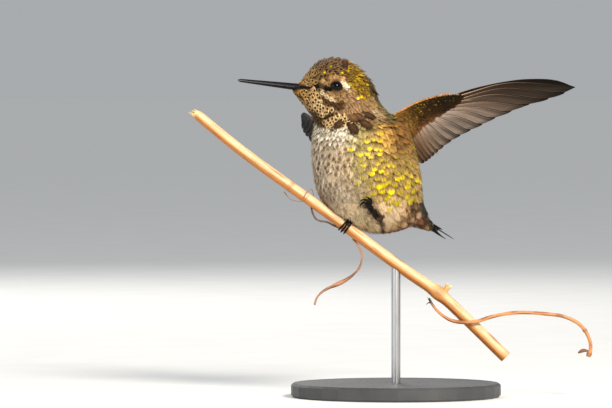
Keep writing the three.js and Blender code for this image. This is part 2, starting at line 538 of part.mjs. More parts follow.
// feathered thighs, cut out of the belly by ellipsoids
function egg(c, r, axes, grow) {
  const g = new THREE.SphereGeometry(1, 11, 7);
  const m = new THREE.Matrix4().makeBasis(...axes.map((a, i) => new THREE.Vector3(...mul(a, r[i] + grow))));
  m.setPosition(...c);
  g.applyMatrix4(m);
  return g;
}
const THIGH_L = { at: add(frontOf(-2.4, 51.6, 0), [0, 2.6, 0]), r: [3.6, 3.4, 4.4] };
const THIGH_R = { at: [-11.8, 5.2, 53.2], r: [3.0, 3.0, 3.6] };
const thighs = {};
for (const [name, t] of [['leg_left_thigh', THIGH_L], ['leg_right_thigh', THIGH_R]]) {
  thighs[name] = trunk.intersect(solid(egg(t.at, t.r, BODY_AXES, 0)));
  trunk = trunk.subtract(solid(egg(t.at, t.r, BODY_AXES, GAP)));
}

// everything that is set into the flesh or lies against it gets its clearance
const cutters = [];
for (const side of ['left', 'right']) {
  cutters.push(solid(armSolid(WINGS[side], GAP)));
  cutters.push(solid(flightPlate(WINGS[side], 0, SECONDARIES / FLIGHT, 12, WING_THICK, GAP)));
  cutters.push(solid(flightPlate(WINGS[side], SECONDARIES / FLIGHT, 1, 20, WING_THICK, GAP)));
}
cutters.push(solid(tailPlate(GAP)));
cutters.push(solid(stemSweep(GAP)));
cutters.push(footSolid(ANKLE_R, JOINT_R, TOES_R, GAP), footSolid(ANKLE_L, JOINT_L, TOES_L, GAP));
for (const toe of [...TOES_R, ...TOES_L]) cutters.push(solid(clawSweep(toe.claw, GAP)));
const headCutters = [solid(mandible(true, GAP)), solid(mandible(false, GAP)), solid(ball(EYES.eye_left, EYE_RADIUS + GAP)), solid(ball(EYES.eye_right, EYE_RADIUS + GAP))];
const trim = (m, list) => { for (const c of list) m = m.subtract(c); return mainPiece(m); };
head = trim(head, headCutters);
neck = trim(neck, cutters);
trunk = trim(trunk, cutters);
rump = trim(rump, cutters);
for (const k of Object.keys(thighs)) thighs[k] = trim(thighs[k], cutters);

addMesh('head', fromSolid(head), '#7a6a4c');
addMesh('neck', fromSolid(neck), '#8a7656');
addMesh('trunk', fromSolid(trunk), '#b3a68c');
addMesh('rump', fromSolid(rump), '#8d8168');
addMesh('leg_left_thigh', fromSolid(thighs.leg_left_thigh), '#cfc6b4');
addMesh('leg_right_thigh', fromSolid(thighs.leg_right_thigh), '#b7ab95');

addMesh('bill_upper', mandible(true), '#17161a', 0.35);
addMesh('bill_lower', mandible(false), '#141317', 0.35);
for (const [name, c] of Object.entries(EYES)) addMesh(name, ball(c, EYE_RADIUS), '#0a0908', 0.08);

for (const side of ['left', 'right']) {
  const w = WINGS[side];
  const split = SECONDARIES / FLIGHT;
  let arm = solid(armSolid(w));
  const sec = solid(flightPlate(w, 0, split, 2 * SECONDARIES, WING_THICK));
  const pri = solid(flightPlate(w, split, 1, 2 * PRIMARIES, WING_THICK));
  arm = arm.subtract(solid(flightPlate(w, 0, split, 2 * SECONDARIES, WING_THICK, GAP))).subtract(solid(flightPlate(w, split, 1, 2 * PRIMARIES, WING_THICK, GAP)));
  addMesh(`wing_${side}_arm`, fromSolid(mainPiece(arm)), '#5b482a');
  addMesh(`wing_${side}_secondaries`, fromSolid(sec), '#5f5148', 0.6);
  addMesh(`wing_${side}_primaries`, fromSolid(pri), '#463b33', 0.6);
}
addMesh('tail', tailPlate(), '#23262c', 0.55);

addMesh('foot_right', fromSolid(footSolid(ANKLE_R, JOINT_R, TOES_R)), '#2a211b', 0.6);
addMesh('foot_left', fromSolid(footSolid(ANKLE_L, JOINT_L, TOES_L)), '#2a211b', 0.6);
for (const [side, toes] of [['right', TOES_R], ['left', TOES_L]])
  for (const toe of toes) addMesh(`claw_${side}_${toe.name}`, clawSweep(toe.claw), '#0f0d0c', 0.35);

// perch: dry hollow-looking stem with a knot and the stub of a side shoot
const stubFoot = stemAt(13.4).p;
const stub = solid(sweep([add(stubFoot, [0, 0, 0.2]), add(stubFoot, [0.9, -0.5, 2.0]), add(stubFoot, [2.4, -0.7, 3.2])], (t) => mix(1.0, 0.45, t), 4, 7))
  .add(solid(sweep([add(stubFoot, [0.9, -0.5, 1.9]), add(stubFoot, [1.0, -0.7, 3.0]), add(stubFoot, [1.3, -0.7, 3.9])], (t) => mix(0.6, 0.3, t), 3, 6)));
addMesh('perch_stem', fromSolid(solid(stemSweep(0)).add(stub)), '#c79a5c', 0.6);

// dry tendrils of the stem: a hanging curl, a small loop and a twig that
// hooks round it in front
const TENDRILS = {
  perch_curl: { path: [[-12.4, 0.2, 45.2], [-10.8, 0, 43.2], [-9.9, -0.1, 41.2], [-9.8, -0.2, 39.0], [-10.5, -0.3, 36.9], [-12.3, -0.3, 34.9], [-14.3, -0.2, 33.5], [-16.6, 0, 32.3], [-18.9, 0.2, 31.3], [-21.1, 0.4, 30.0], [-22.6, 0.5, 28.3], [-23.3, 0.6, 26.3]],
    radius: (t) => 0.29 + 0.38 * Math.exp(-Math.pow((t - 0.62) / 0.13, 2)) },
  perch_loop: { path: [[-24.4, 0, 54.8], [-23.8, 0.1, 52.5], [-22.9, 0.2, 50.9], [-21.7, 0.2, 50.3], [-19.8, 0.2, 50.0], [-17.6, 0.2, 48.9], [-15.9, 0.3, 48.2]], radius: () => 0.26 },
  perch_twig: { path: [[9.4, -0.9, 28.2], [10.6, -1.2, 26.1], [12.6, -1.6, 23.9], [15.4, -2.1, 22.1], [18.9, -2.55, 21.4], [22.6, -2.6, 21.6], [26.9, -2.3, 22.9], [31.1, -2.0, 23.8], [35.4, -1.8, 24.2], [42.6, -1.5, 23.8], [48.3, -1.3, 22.9], [52.6, -1.2, 20.6], [55.1, -1.2, 16.9], [55.6, -1.2, 14.0], [54.9, -1.2, 11.5]],
    radius: (t) => mix(0.32, 0.5, clamp(t * 5, 0, 1)) + 0.28 * Math.exp(-Math.pow((t - 0.985) / 0.015, 2)) },
};
for (const [name, { path, radius }] of Object.entries(TENDRILS)) {
  const segs = Math.round(1.3 * path.length);
  let m = solid(sweep(path, radius, segs, 6)).subtract(solid(stemSweep(GAP)));
  for (const toe of TOES_R) m = m.subtract(solid(clawSweep(toe.claw, GAP)));
  m = m.subtract(footSolid(ANKLE_R, JOINT_R, TOES_R, GAP));
  addMesh(name, fromSolid(mainPiece(m)), '#8f6a45', 0.7);
}

// stand: round flat base and one rod, its top hollowed to the stem
const rodTop = stemAt(0);
addMesh('stand_base', new THREE.LatheGeometry([[0, 0], [BASE_RADIUS - BASE_BEVEL, 0], [BASE_RADIUS, BASE_BEVEL], [BASE_RADIUS, BASE_HEIGHT - BASE_BEVEL], [BASE_RADIUS - BASE_BEVEL, BASE_HEIGHT], [0, BASE_HEIGHT]].map(([r, z]) => new THREE.Vector2(r, z)), 32).rotateX(Math.PI / 2), '#2b2b2d', 0.6);
{
  const z0 = BASE_HEIGHT + 0.02, z1 = rodTop.p[2];
  const rod = new THREE.CylinderGeometry(ROD_RADIUS, ROD_RADIUS, z1 - z0, 20).rotateX(Math.PI / 2).translate(0, 0, (z0 + z1) / 2);
  addMesh('stand_rod', fromSolid(mainPiece(solid(rod).subtract(solid(stemSweep(GAP))))), '#9a9a9c', 0.35, 0.9);
}

export default hummingbird;
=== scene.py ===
"""Looks of the hummingbird model: skin, coat of feathers, flight feathers,
eyes, bill, feet, perch and stand, built in millimetres in the frame of the
solids and scaled to metres when a mesh is made."""
import math
import random

import bpy
import numpy as np
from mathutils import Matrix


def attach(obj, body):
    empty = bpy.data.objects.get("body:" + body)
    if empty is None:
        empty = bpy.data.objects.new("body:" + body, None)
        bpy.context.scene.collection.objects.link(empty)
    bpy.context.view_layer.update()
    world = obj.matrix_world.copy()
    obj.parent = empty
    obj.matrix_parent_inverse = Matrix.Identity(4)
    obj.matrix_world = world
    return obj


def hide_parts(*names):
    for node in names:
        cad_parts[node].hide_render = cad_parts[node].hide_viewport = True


SEED = 20
random.seed(SEED)
rng = np.random.default_rng(SEED)

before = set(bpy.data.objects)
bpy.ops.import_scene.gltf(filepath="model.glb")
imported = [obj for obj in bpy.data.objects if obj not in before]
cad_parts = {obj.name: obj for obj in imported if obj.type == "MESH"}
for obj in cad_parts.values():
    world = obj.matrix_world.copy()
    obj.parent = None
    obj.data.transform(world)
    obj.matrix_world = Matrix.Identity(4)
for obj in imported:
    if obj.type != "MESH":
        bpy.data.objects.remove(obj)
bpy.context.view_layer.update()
scene = bpy.context.scene

# ------------------------------------------------------------ small algebra
DEG = math.pi / 180


def unit(a):
    a = np.asarray(a, float)
    return a / np.maximum(np.linalg.norm(a, axis=-1, keepdims=True), 1e-12)


def mix(a, b, t):
    return a + (b - a) * t


def smooth(lo, hi, x):
    t = np.clip((np.asarray(x, float) - lo) / (hi - lo), 0, 1)
    return t * t * (3 - 2 * t)


def bump(x, at, width):
    return np.exp(-((np.asarray(x, float) - at) / width) ** 2)


# --------------------------------------- the bird's form, millimetres, as in
# the solids: ellipsoids and round cones that flow into each other
UP = np.array([0.0, 0, 1])
BODY_YAW, HEAD_YAW, HEAD_PITCH = 40 * DEG, 22 * DEG, 6.2 * DEG
bodyF = np.array([-math.sin(BODY_YAW), -math.cos(BODY_YAW), 0])
bodyL = np.cross(UP, bodyF)
headF = unit([-math.cos(HEAD_YAW) * math.cos(HEAD_PITCH), -math.sin(HEAD_YAW) * math.cos(HEAD_PITCH), math.sin(HEAD_PITCH)])
headL = unit(np.cross(UP, headF))
headU = np.cross(headF, headL)
HEAD_CENTRE = np.array([-17.6, -1.2, 88.5])
BODY_AXES = np.array([bodyF, bodyL, UP])
HEAD_AXES = np.array([headF, headL, headU])
SHOULDER_L = np.array([-2.2, 1.6, 77.0])
SHOULDER_R = np.array([-18.0, 9.6, 75.3])


def head_point(f, l, u):
    return HEAD_CENTRE + f * headF + l * headL + u * headU


def to_head(p):
    return (np.asarray(p) - HEAD_CENTRE) @ HEAD_AXES.T


def smin(a, b, k):
    h = np.maximum(k - np.abs(a - b), 0) / k
    return np.minimum(a, b) - h * h * k / 4


def ellipsoid(p, c, axes, r):
    q = (p - np.asarray(c)) @ axes.T
    r = np.asarray(r, float)
    k0 = np.sqrt(((q / r) ** 2).sum(-1))
    k1 = np.sqrt(((q / (r * r)) ** 2).sum(-1))
    return np.where(k1 < 1e-9, -r.min(), k0 * (k0 - 1) / np.maximum(k1, 1e-9))


def round_cone(p, a, b, ra, rb):
    a, b = np.asarray(a, float), np.asarray(b, float)
    ab = b - a
    t = np.clip((p - a) @ ab / (ab @ ab), 0, 1)
    q = p - (a + t[..., None] * ab)
    return np.sqrt((q * q).sum(-1)) - (ra + (rb - ra) * t)


def head_field(p):
    d = ellipsoid(p, HEAD_CENTRE, HEAD_AXES, [8.8, 7.9, 8.3])
    d = smin(d, round_cone(p, head_point(3.6, 0, 0.2), head_point(11.2, 0, -1.05), 6.0, 1.25), 2.5)
    d = smin(d, round_cone(p, head_point(12.6, 0, -2.3), head_point(1.95, 0, -5.0), 0.52, 6.3), 2.0)
    d = smin(d, ellipsoid(p, head_point(0.5, 4.0, -2.5), HEAD_AXES, [5.5, 4.2, 4.5]), 2.5)
    d = smin(d, ellipsoid(p, head_point(0.5, -4.0, -2.5), HEAD_AXES, [5.5, 4.2, 4.5]), 2.5)
    return d


def body_field(p):
    d = ellipsoid(p, [-10.0, 2.8, 70.5], BODY_AXES, [14.4, 13.7, 13.2])
    d = smin(d, ellipsoid(p, [-7.9, 5.4, 62.0], BODY_AXES, [15.4, 15.0, 14.0]), 5)
    d = smin(d, ellipsoid(p, [-2.6, 9.2, 54.6], BODY_AXES, [10.6, 9.6, 8.0]), 4)
    d = smin(d, ellipsoid(p, [-5.5, 8.6, 70.3], BODY_AXES, [9.5, 10.5, 9.0]), 4)
    d = smin(d, round_cone(p, [0.5, 11.5, 55.8], [9.6, 20.5, 48.5], 6.6, 1.7), 3)
    d = smin(d, round_cone(p, HEAD_CENTRE + [4.7, 1.9, -3.6], [-13.0, 2.6, 75.3], 8.0, 10.0), 4)
    d = smin(d, round_cone(p, SHOULDER_L + [-6, 0.5, -3], SHOULDER_L + [5.5, 1.9, 1.6], 4.4, 2.0), 2.2)
    d = smin(d, round_cone(p, SHOULDER_R + [4, -3, -2], SHOULDER_R + [-1.0, 6.0, 0.9], 4.4, 2.0), 2.2)
    return smin(d, head_field(p), 3.5)


EYE_RADIUS, EYE_FORWARD, EYE_UP, EYE_SINK = 1.9, 2.4, -0.12, 1.45


def eye_centre(side):
    ls = np.arange(14, 0, -0.02)
    p = HEAD_CENTRE + EYE_FORWARD * headF + EYE_UP * headU + (side * ls)[:, None] * headL
    l = ls[np.argmax(body_field(p) <= 0)]
    return head_point(EYE_FORWARD, side * (l - EYE_SINK), EYE_UP)


EYE_L, EYE_R = eye_centre(1), eye_centre(-1)

# ---------------------------------------------- the form sampled on a grid
GRID_LO = np.array([-40.0, -22.0, 39.0])
GRID_HI = np.array([24.0, 34.0, 105.0])
GRID_STEP = 0.5


class Field:
    """body_field and its gradient, looked up on a grid."""

    def __init__(self):
        n = [int(round(v)) + 1 for v in (GRID_HI - GRID_LO) / GRID_STEP]
        ax = [GRID_LO[i] + GRID_STEP * np.arange(n[i]) for i in range(3)]
        g = np.stack(np.meshgrid(*ax, indexing="ij"), -1).reshape(-1, 3)
        self.n = n
        self.val = body_field(g).reshape(n).astype(np.float32)
        gr = np.gradient(self.val, GRID_STEP)
        self.all = np.stack([self.val] + gr, -1).reshape(-1, 4).astype(np.float32)
        self.points = g

    def __call__(self, p):
        """distance and gradient at points p"""
        q = (p - GRID_LO) / GRID_STEP
        q = np.clip(q, 0, np.array(self.n) - 1.001)
        i = q.astype(int)
        f = (q - i).astype(np.float32)
        ny, nz = self.n[1], self.n[2]
        base = (i[:, 0] * ny + i[:, 1]) * nz + i[:, 2]
        out = np.zeros((len(p), 4), np.float32)
        for a in (0, 1):
            wx = f[:, 0] if a else 1 - f[:, 0]
            for b in (0, 1):
                wy = f[:, 1] if b else 1 - f[:, 1]
                for c in (0, 1):
                    wz = f[:, 2] if c else 1 - f[:, 2]
                    out += self.all[base + (a * ny + b) * nz + c] * (wx * wy * wz)[:, None]
        return out[:, 0].astype(float), out[:, 1:].astype(float)

    def settle(self, p, level, rounds=2):
        """moves points along the gradient until the distance is level"""
        for _ in range(rounds):
            d, g = self(p)
            g2 = np.maximum((g * g).sum(-1), 0.05)
            p = p - g * np.clip((d - level) / g2, -1.5, 1.5)[:, None]
        return p


def surface_nets(values, lo, step):
    """closed quads where values crosses zero; negative is inside"""
    n = values.shape
    s = values < 0
    code = np.zeros((n[0] - 1, n[1] - 1, n[2] - 1), np.uint8)
    corner = [(a, b, c) for a in (0, 1) for b in (0, 1) for c in (0, 1)]
    sub = lambda v, c: v[c[0]:n[0] - 1 + c[0], c[1]:n[1] - 1 + c[1], c[2]:n[2] - 1 + c[2]]
    for k, c in enumerate(corner):
        code |= sub(s, c).astype(np.uint8) << k
    active = (code != 0) & (code != 255)
    cells = np.argwhere(active)
    index = np.full(code.shape, -1, np.int64)
    index[tuple(cells.T)] = np.arange(len(cells))
    acc = np.zeros((len(cells), 3))
    cnt = np.zeros(len(cells))
    edges = [(a, b) for a in range(8) for b in range(8) if a < b and bin(a ^ b).count("1") == 1]
    for a, b in edges:
        ca, cb = np.array(corner[a]), np.array(corner[b])
        va = values[tuple((cells + ca).T)]
        vb = values[tuple((cells + cb).T)]
        m = (va < 0) != (vb < 0)
        t = np.where(m, va / np.where(m, va - vb, 1), 0)
        acc += np.where(m[:, None], ca + (cb - ca) * t[:, None], 0)
        cnt += m
    verts = lo + step * (cells + acc / cnt[:, None])
    quads = []
    for axis in range(3):
        d = np.zeros(3, int)
        d[axis] = 1
        u, v = [(1, 2), (2, 0), (0, 1)][axis]
        lowv = s[tuple(slice(0, n[k] - d[k]) for k in range(3))]
        hiv = s[tuple(slice(d[k], n[k]) for k in range(3))]
        e = np.argwhere(lowv != hiv)
        e = e[(e[:, u] > 0) & (e[:, v] > 0) & (e[:, u] < n[u] - 1) & (e[:, v] < n[v] - 1)]
        inside = lowv[tuple(e.T)]
        du, dv = np.zeros(3, int), np.zeros(3, int)
        du[u], dv[v] = 1, 1
        q = np.stack([index[tuple((e - du - dv).T)], index[tuple((e - dv).T)], index[tuple(e.T)], index[tuple((e - du).T)]], -1)
        q = np.where(inside[:, None], q, q[:, ::-1])
        quads.append(q)
    return verts, np.concatenate(quads)


# ------------------------------------------------------- lie of the feathers
# guide points with the way the feathers point there
GUIDES = [
    (head_point(12.5, 0, -1.6), -headF, 4.0),
    (head_point(5.5, 0, 3.0), -headF * 0.9 + headU * 0.35, 5.0),
    (head_point(3.0, 0, -5.5), -headF * 0.9 - headU * 0.55, 5.0),
    (head_point(0, 0, 6.0), -headF, 6.0),
    (head_point(-7.5, 0, 2.0), -headF * 0.35 - headU, 6.0),
    (head_point(-1, 5.5, -1.5), -headF - headU * 0.45 + headL * 0.1, 5.5),
    (head_point(-1, -5.5, -1.5), -headF - headU * 0.45 - headL * 0.1, 5.5),
    (np.array([-18.0, -2.5, 79.0]), -UP - bodyF * 0.1, 7.0),
    (np.array([-9.0, 5.5, 80.0]), -UP * 0.9 - bodyF * 0.45, 7.0),
    (np.array([-18.0, -6.0, 70.0]), -UP - bodyF * 0.05, 9.0),
    (np.array([-3.0, 12.0, 70.0]), -UP - bodyF * 0.25, 9.0),
    (np.array([-17.0, -4.0, 60.0]), -UP - bodyF * 0.35, 8.0),
    (np.array([0.0, 2.0, 62.0]), -UP - bodyF * 0.35, 8.0),
    (np.array([-16.0, 12.0, 62.0]), -UP - bodyF * 0.35, 8.0),
    (np.array([1.0, 16.0, 60.0]), -UP - bodyF * 0.9, 7.0),
    (np.array([-11.0, 1.0, 52.0]), -UP * 0.45 - bodyF, 7.0),
    (np.array([-2.0, 8.0, 50.0]), -UP * 0.25 - bodyF, 7.0),
    (np.array([4.0, 15.0, 50.5]), -UP * 0.45 - bodyF, 6.0),
    (np.array([8.5, 19.5, 48.5]), -UP * 0.5 - bodyF, 5.0),
]
GUIDE_AT = np.array([g[0] for g in GUIDES])
GUIDE_WAY = unit(np.array([g[1] for g in GUIDES]))
GUIDE_R = np.array([g[2] for g in GUIDES])


def lie(p, n):
    """unit direction of the feathers at points p with normals n"""
    d2 = ((p[:, None, :] - GUIDE_AT) ** 2).sum(-1)
    w = np.exp(-d2 / (1.1 * GUIDE_R) ** 2) + 1e-6 / (1 + d2)
    way = w @ GUIDE_WAY
    way = unit(way - n * (way * n).sum(-1, keepdims=True))
    # feathers part round the eyes
    for e in (EYE_L, EYE_R):
        r = p - e
        dist = np.linalg.norm(r, axis=1)
        r = unit(r - n * (r * n).sum(-1, keepdims=True))
        toward = np.clip(-(way * r).sum(-1), 0, None)
        way = way + r * (toward * 1.25 * (1 - smooth(2.2, 4.2, dist)))[:, None]
    return unit(way)
# ------------------------------------------------------------ making meshes
MM = 0.001


def lin(c):
    """sRGB 0..255 to linear"""
    c = np.asarray(c, float) / 255.0
    return np.where(c <= 0.04045, c / 12.92, ((c + 0.055) / 1.055) ** 2.4)


def make(name, verts, faces, material, slot, colors=None, floats=None, vectors=None, uv=None, smooth_shade=True, ride=True):
    """mesh object from arrays: faces is a list of (n, k) index arrays, uv is
    per vertex (n, 2) or a list of per-corner arrays, one for each of faces"""
    faces = [np.asarray(f, np.int64) for f in faces if len(f)]
    me = bpy.data.meshes.new(name)
    me.vertices.add(len(verts))
    me.vertices.foreach_set("co", (np.asarray(verts) * MM).astype(np.float32).ravel())
    loops = np.concatenate([f.ravel() for f in faces])
    totals = np.concatenate([np.full(len(f), f.shape[1]) for f in faces])
    starts = np.concatenate([[0], np.cumsum(totals)[:-1]])
    me.loops.add(len(loops))
    me.loops.foreach_set("vertex_index", loops.astype(np.int32))
    me.polygons.add(len(totals))
    me.polygons.foreach_set("loop_start", starts.astype(np.int32))
    me.polygons.foreach_set("use_smooth", np.full(len(totals), smooth_shade))
    me.update(calc_edges=True)
    if uv is not None:
        layer = me.uv_layers.new(name="OFBake")
        if isinstance(uv, list):
            flat = np.concatenate([np.asarray(x).reshape(-1, 2) for x in uv])
        else:
            flat = np.asarray(uv)[loops]
        layer.data.foreach_set("uv", np.clip(flat, 0.001, 0.999).astype(np.float32).ravel())
    if colors is not None:
        a = me.color_attributes.new("tint", "FLOAT_COLOR", "POINT")
        rgba = np.concatenate([np.clip(colors, 0, 1), np.ones((len(verts), 1))], 1)
        a.data.foreach_set("color", rgba.astype(np.float32).ravel())
    for key, val in (floats or {}).items():
        a = me.attributes.new(key, "FLOAT", "POINT")
        a.data.foreach_set("value", np.asarray(val, np.float32).ravel())
    for key, val in (vectors or {}).items():
        a = me.attributes.new(key, "FLOAT_VECTOR", "POINT")
        a.data.foreach_set("vector", np.asarray(val, np.float32).ravel())
    me.materials.append(material)
    ob = bpy.data.objects.new(name, me)
    scene.collection.objects.link(ob)
    if ride:
        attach(ob, "root")
    return ob


class Curve:
    """centripetal Catmull-Rom curve through points, by length from 0 to 1"""

    def __init__(self, pts):
        pts = [np.asarray(p, float) for p in pts]
        pts = [2 * pts[0] - pts[1]] + pts + [2 * pts[-1] - pts[-2]]
        out = []
        for i in range(len(pts) - 3):
            p0, p1, p2, p3 = pts[i:i + 4]
            t0 = 0.0
            t1 = t0 + max(np.linalg.norm(p1 - p0) ** 0.5, 1e-4)
            t2 = t1 + max(np.linalg.norm(p2 - p1) ** 0.5, 1e-4)
            t3 = t2 + max(np.linalg.norm(p3 - p2) ** 0.5, 1e-4)
            t = np.linspace(t1, t2, 40, endpoint=(i == len(pts) - 4))[:, None]
            a1 = (t1 - t) / (t1 - t0) * p0 + (t - t0) / (t1 - t0) * p1
            a2 = (t2 - t) / (t2 - t1) * p1 + (t - t1) / (t2 - t1) * p2
            a3 = (t3 - t) / (t3 - t2) * p2 + (t - t2) / (t3 - t2) * p3
            b1 = (t2 - t) / (t2 - t0) * a1 + (t - t0) / (t2 - t0) * a2
            b2 = (t3 - t) / (t3 - t1) * a2 + (t - t1) / (t3 - t1) * a3
            out.append((t2 - t) / (t2 - t1) * b1 + (t - t1) / (t2 - t1) * b2)
        self.p = np.concatenate(out)
        seg = np.linalg.norm(np.diff(self.p, axis=0), axis=1)
        self.s = np.concatenate([[0], np.cumsum(seg)])
        self.length = self.s[-1]

    def __call__(self, u):
        u = np.asarray(u, float)
        s = np.clip(u, 0, 1) * self.length
        return np.stack([np.interp(s, self.s, self.p[:, k]) for k in range(self.p.shape[1])], -1)

    def tangent(self, u):
        e = 0.002
        return unit(self(np.clip(np.asarray(u) + e, 0, 1)) - self(np.clip(np.asarray(u) - e, 0, 1)))


def tube(path, radius, rings, sides, hint=(0, 0, 1), relief=None, power=1.0):
    """closed tube along a Curve; radius(t) and relief(t, angle) in mm.
    Returns vertices, faces, and (t, angle) of each vertex"""
    c = path if isinstance(path, Curve) else Curve(path)
    t = np.linspace(0, 1, rings + 1) ** power
    p, d = c(t), c.tangent(t)
    side = []
    s = None
    for k in range(rings + 1):
        if s is None:
            h = np.asarray(hint, float)
            if abs(h @ d[k]) > 0.95:
                h = np.array([1.0, 0, 0])
            s = unit(np.cross(d[k], h))
        else:
            s = unit(s - d[k] * (s @ d[k]))
        side.append(s)
    side = np.array(side)
    nrm = np.cross(side, d)
    a = np.arange(sides) / sides * 2 * np.pi
    r = np.asarray([radius(x) for x in t])[:, None] * np.ones(sides)
    T, A = np.meshgrid(t, a, indexing="ij")
    if relief is not None:
        r = r + relief(T, A)
    v = p[:, None] + side[:, None] * (np.cos(a)[:, None] * r[..., None]) + nrm[:, None] * (np.sin(a)[:, None] * r[..., None])
    v = v.reshape(-1, 3)
    i = np.arange(rings)[:, None] * sides
    j = np.arange(sides)[None]
    j2 = (j + 1) % sides
    q = np.stack([i + j, i + sides + j, i + sides + j2, i + j2], -1).reshape(-1, 4)
    n = len(v)
    v = np.concatenate([v, p[:1], p[-1:]])
    jj = np.arange(sides)
    c0 = np.stack([np.full(sides, n), jj, (jj + 1) % sides], -1)
    o = rings * sides
    c1 = np.stack([np.full(sides, n + 1), o + (jj + 1) % sides, o + jj], -1)
    ta = np.concatenate([np.stack([T.ravel(), A.ravel()], -1), [[0, 0], [1, 0]]])
    # faces out
    vol = np.einsum("ij,ij->i", v[q[:, 0]], np.cross(v[q[:, 1]], v[q[:, 2]])).sum() + np.einsum("ij,ij->i", v[q[:, 0]], np.cross(v[q[:, 2]], v[q[:, 3]])).sum()
    f = [q, np.concatenate([c0, c1])]
    centre = v.mean(0)
    out = np.einsum("ij,ij->i", np.cross(v[q[:, 1]] - v[q[:, 0]], v[q[:, 3]] - v[q[:, 0]]), v[q].mean(1) - np.repeat(0.5 * (p[:-1] + p[1:]), sides, 0)).sum()
    if out < 0:
        f = [x[:, ::-1] for x in f]
    return v, f, ta


class Joined:
    """collects parts of one mesh"""

    def __init__(self):
        self.v, self.f, self.c, self.x, self.n, self.uv = [], {}, [], {}, 0, []

    def add(self, verts, faces, colors, uv=None, **floats):
        for f in faces:
            if len(f):
                self.f.setdefault(np.asarray(f).shape[1], []).append(np.asarray(f) + self.n)
        self.v.append(np.asarray(verts, float))
        c = np.asarray(colors, float)
        self.c.append(np.broadcast_to(c, (len(verts), 3)))
        if uv is not None:
            self.uv.append(np.asarray(uv, float))
        for k, val in floats.items():
            self.x.setdefault(k, []).append(np.broadcast_to(np.asarray(val, float), (len(verts),)))
        self.n += len(verts)

    def triangles(self):
        return sum(len(np.concatenate(v)) * (k - 2) for k, v in self.f.items())

    def make(self, name, material, slot, **kw):
        uv = np.concatenate(self.uv) if self.uv else None
        return make(name, np.concatenate(self.v), [np.concatenate(v) for v in self.f.values()], material, slot,
                    colors=np.concatenate(self.c), floats={k: np.concatenate(v) for k, v in self.x.items()}, uv=uv, **kw)


# ----------------------------------------------------- map of the bird's skin
MAP_A, MAP_B = np.array([-7.0, 7.0, 59.0]), np.array([-16.5, -0.5, 87.5])
MAP_AXIS = unit(MAP_B - MAP_A)
MAP_LEN = float(np.linalg.norm(MAP_B - MAP_A))
MAP_E1 = unit(bodyF - MAP_AXIS * (bodyF @ MAP_AXIS))
MAP_E2 = np.cross(MAP_AXIS, MAP_E1)


def skin_map(p):
    """place of a point on the unwrap of the skin: round the body, and along
    it from the vent to the crown"""
    d = p - MAP_A
    s = np.clip(d @ MAP_AXIS, 0, MAP_LEN)
    q = d - s[:, None] * MAP_AXIS
    r = np.maximum(np.linalg.norm(q, axis=1), 1e-6)
    elev = np.arcsin(np.clip((q @ MAP_AXIS) / r, -1, 1))
    u = np.arctan2(q @ MAP_E2, q @ MAP_E1) / (2 * np.pi) + 0.5
    v = (s + 9.5 * elev + 15.0) / (MAP_LEN + 30.0)
    return np.stack([u, np.clip(v, 0, 1)], -1)


def spread(uv):
    """stretches a piece's part of the map over the whole square"""
    lo, hi = uv.min(0), uv.max(0)
    return 0.02 + 0.96 * (uv - lo) / np.maximum(hi - lo, 1e-6)
# ----------------------------------------------------------------- materials
def new_material(name):
    m = bpy.data.materials.new(name)
    m.use_nodes = True
    nt = m.node_tree
    for n in list(nt.nodes):
        nt.nodes.remove(n)
    out = nt.nodes.new("ShaderNodeOutputMaterial")
    bsdf = nt.nodes.new("ShaderNodeBsdfPrincipled")
    nt.links.new(bsdf.outputs[0], out.inputs[0])
    return m, nt, bsdf


def node(nt, kind, **kw):
    n = nt.nodes.new("ShaderNode" + kind)
    for k, v in kw.items():
        if k in n.bl_rna.properties:
            setattr(n, k, v)
        else:
            n.inputs[k.replace("_", " ")].default_value = v
    return n


def attribute(nt, name):
    n = nt.nodes.new("ShaderNodeAttribute")
    n.attribute_name = name
    return n


def coords(nt, scale=(1, 1, 1)):
    tc = nt.nodes.new("ShaderNodeTexCoord")
    mp = nt.nodes.new("ShaderNodeMapping")
    mp.inputs["Scale"].default_value = scale
    nt.links.new(tc.outputs["Object"], mp.inputs["Vector"])
    return mp.outputs["Vector"]


def multiply(nt, a, b, fac=1.0):
    n = nt.nodes.new("ShaderNodeMix")
    n.data_type, n.blend_type = "RGBA", "MULTIPLY"
    n.inputs[0].default_value = fac
    nt.links.new(a, n.inputs[6])
    nt.links.new(b, n.inputs[7])
    return n.outputs[2]


def ramp(nt, src, stops):
    n = nt.nodes.new("ShaderNodeValToRGB")
    while len(n.color_ramp.elements) < len(stops):
        n.color_ramp.elements.new(0.5)
    for e, (pos, val) in zip(n.color_ramp.elements, stops):
        e.position = pos
        e.color = (val, val, val, 1) if np.isscalar(val) else (*val, 1)
    nt.links.new(src, n.inputs[0])
    return n.outputs[0]


def bump_from(nt, bsdf, src, strength, distance):
    b = nt.nodes.new("ShaderNodeBump")
    b.inputs["Strength"].default_value = strength
    b.inputs["Distance"].default_value = distance
    nt.links.new(src, b.inputs["Height"])
    nt.links.new(b.outputs[0], bsdf.inputs["Normal"])


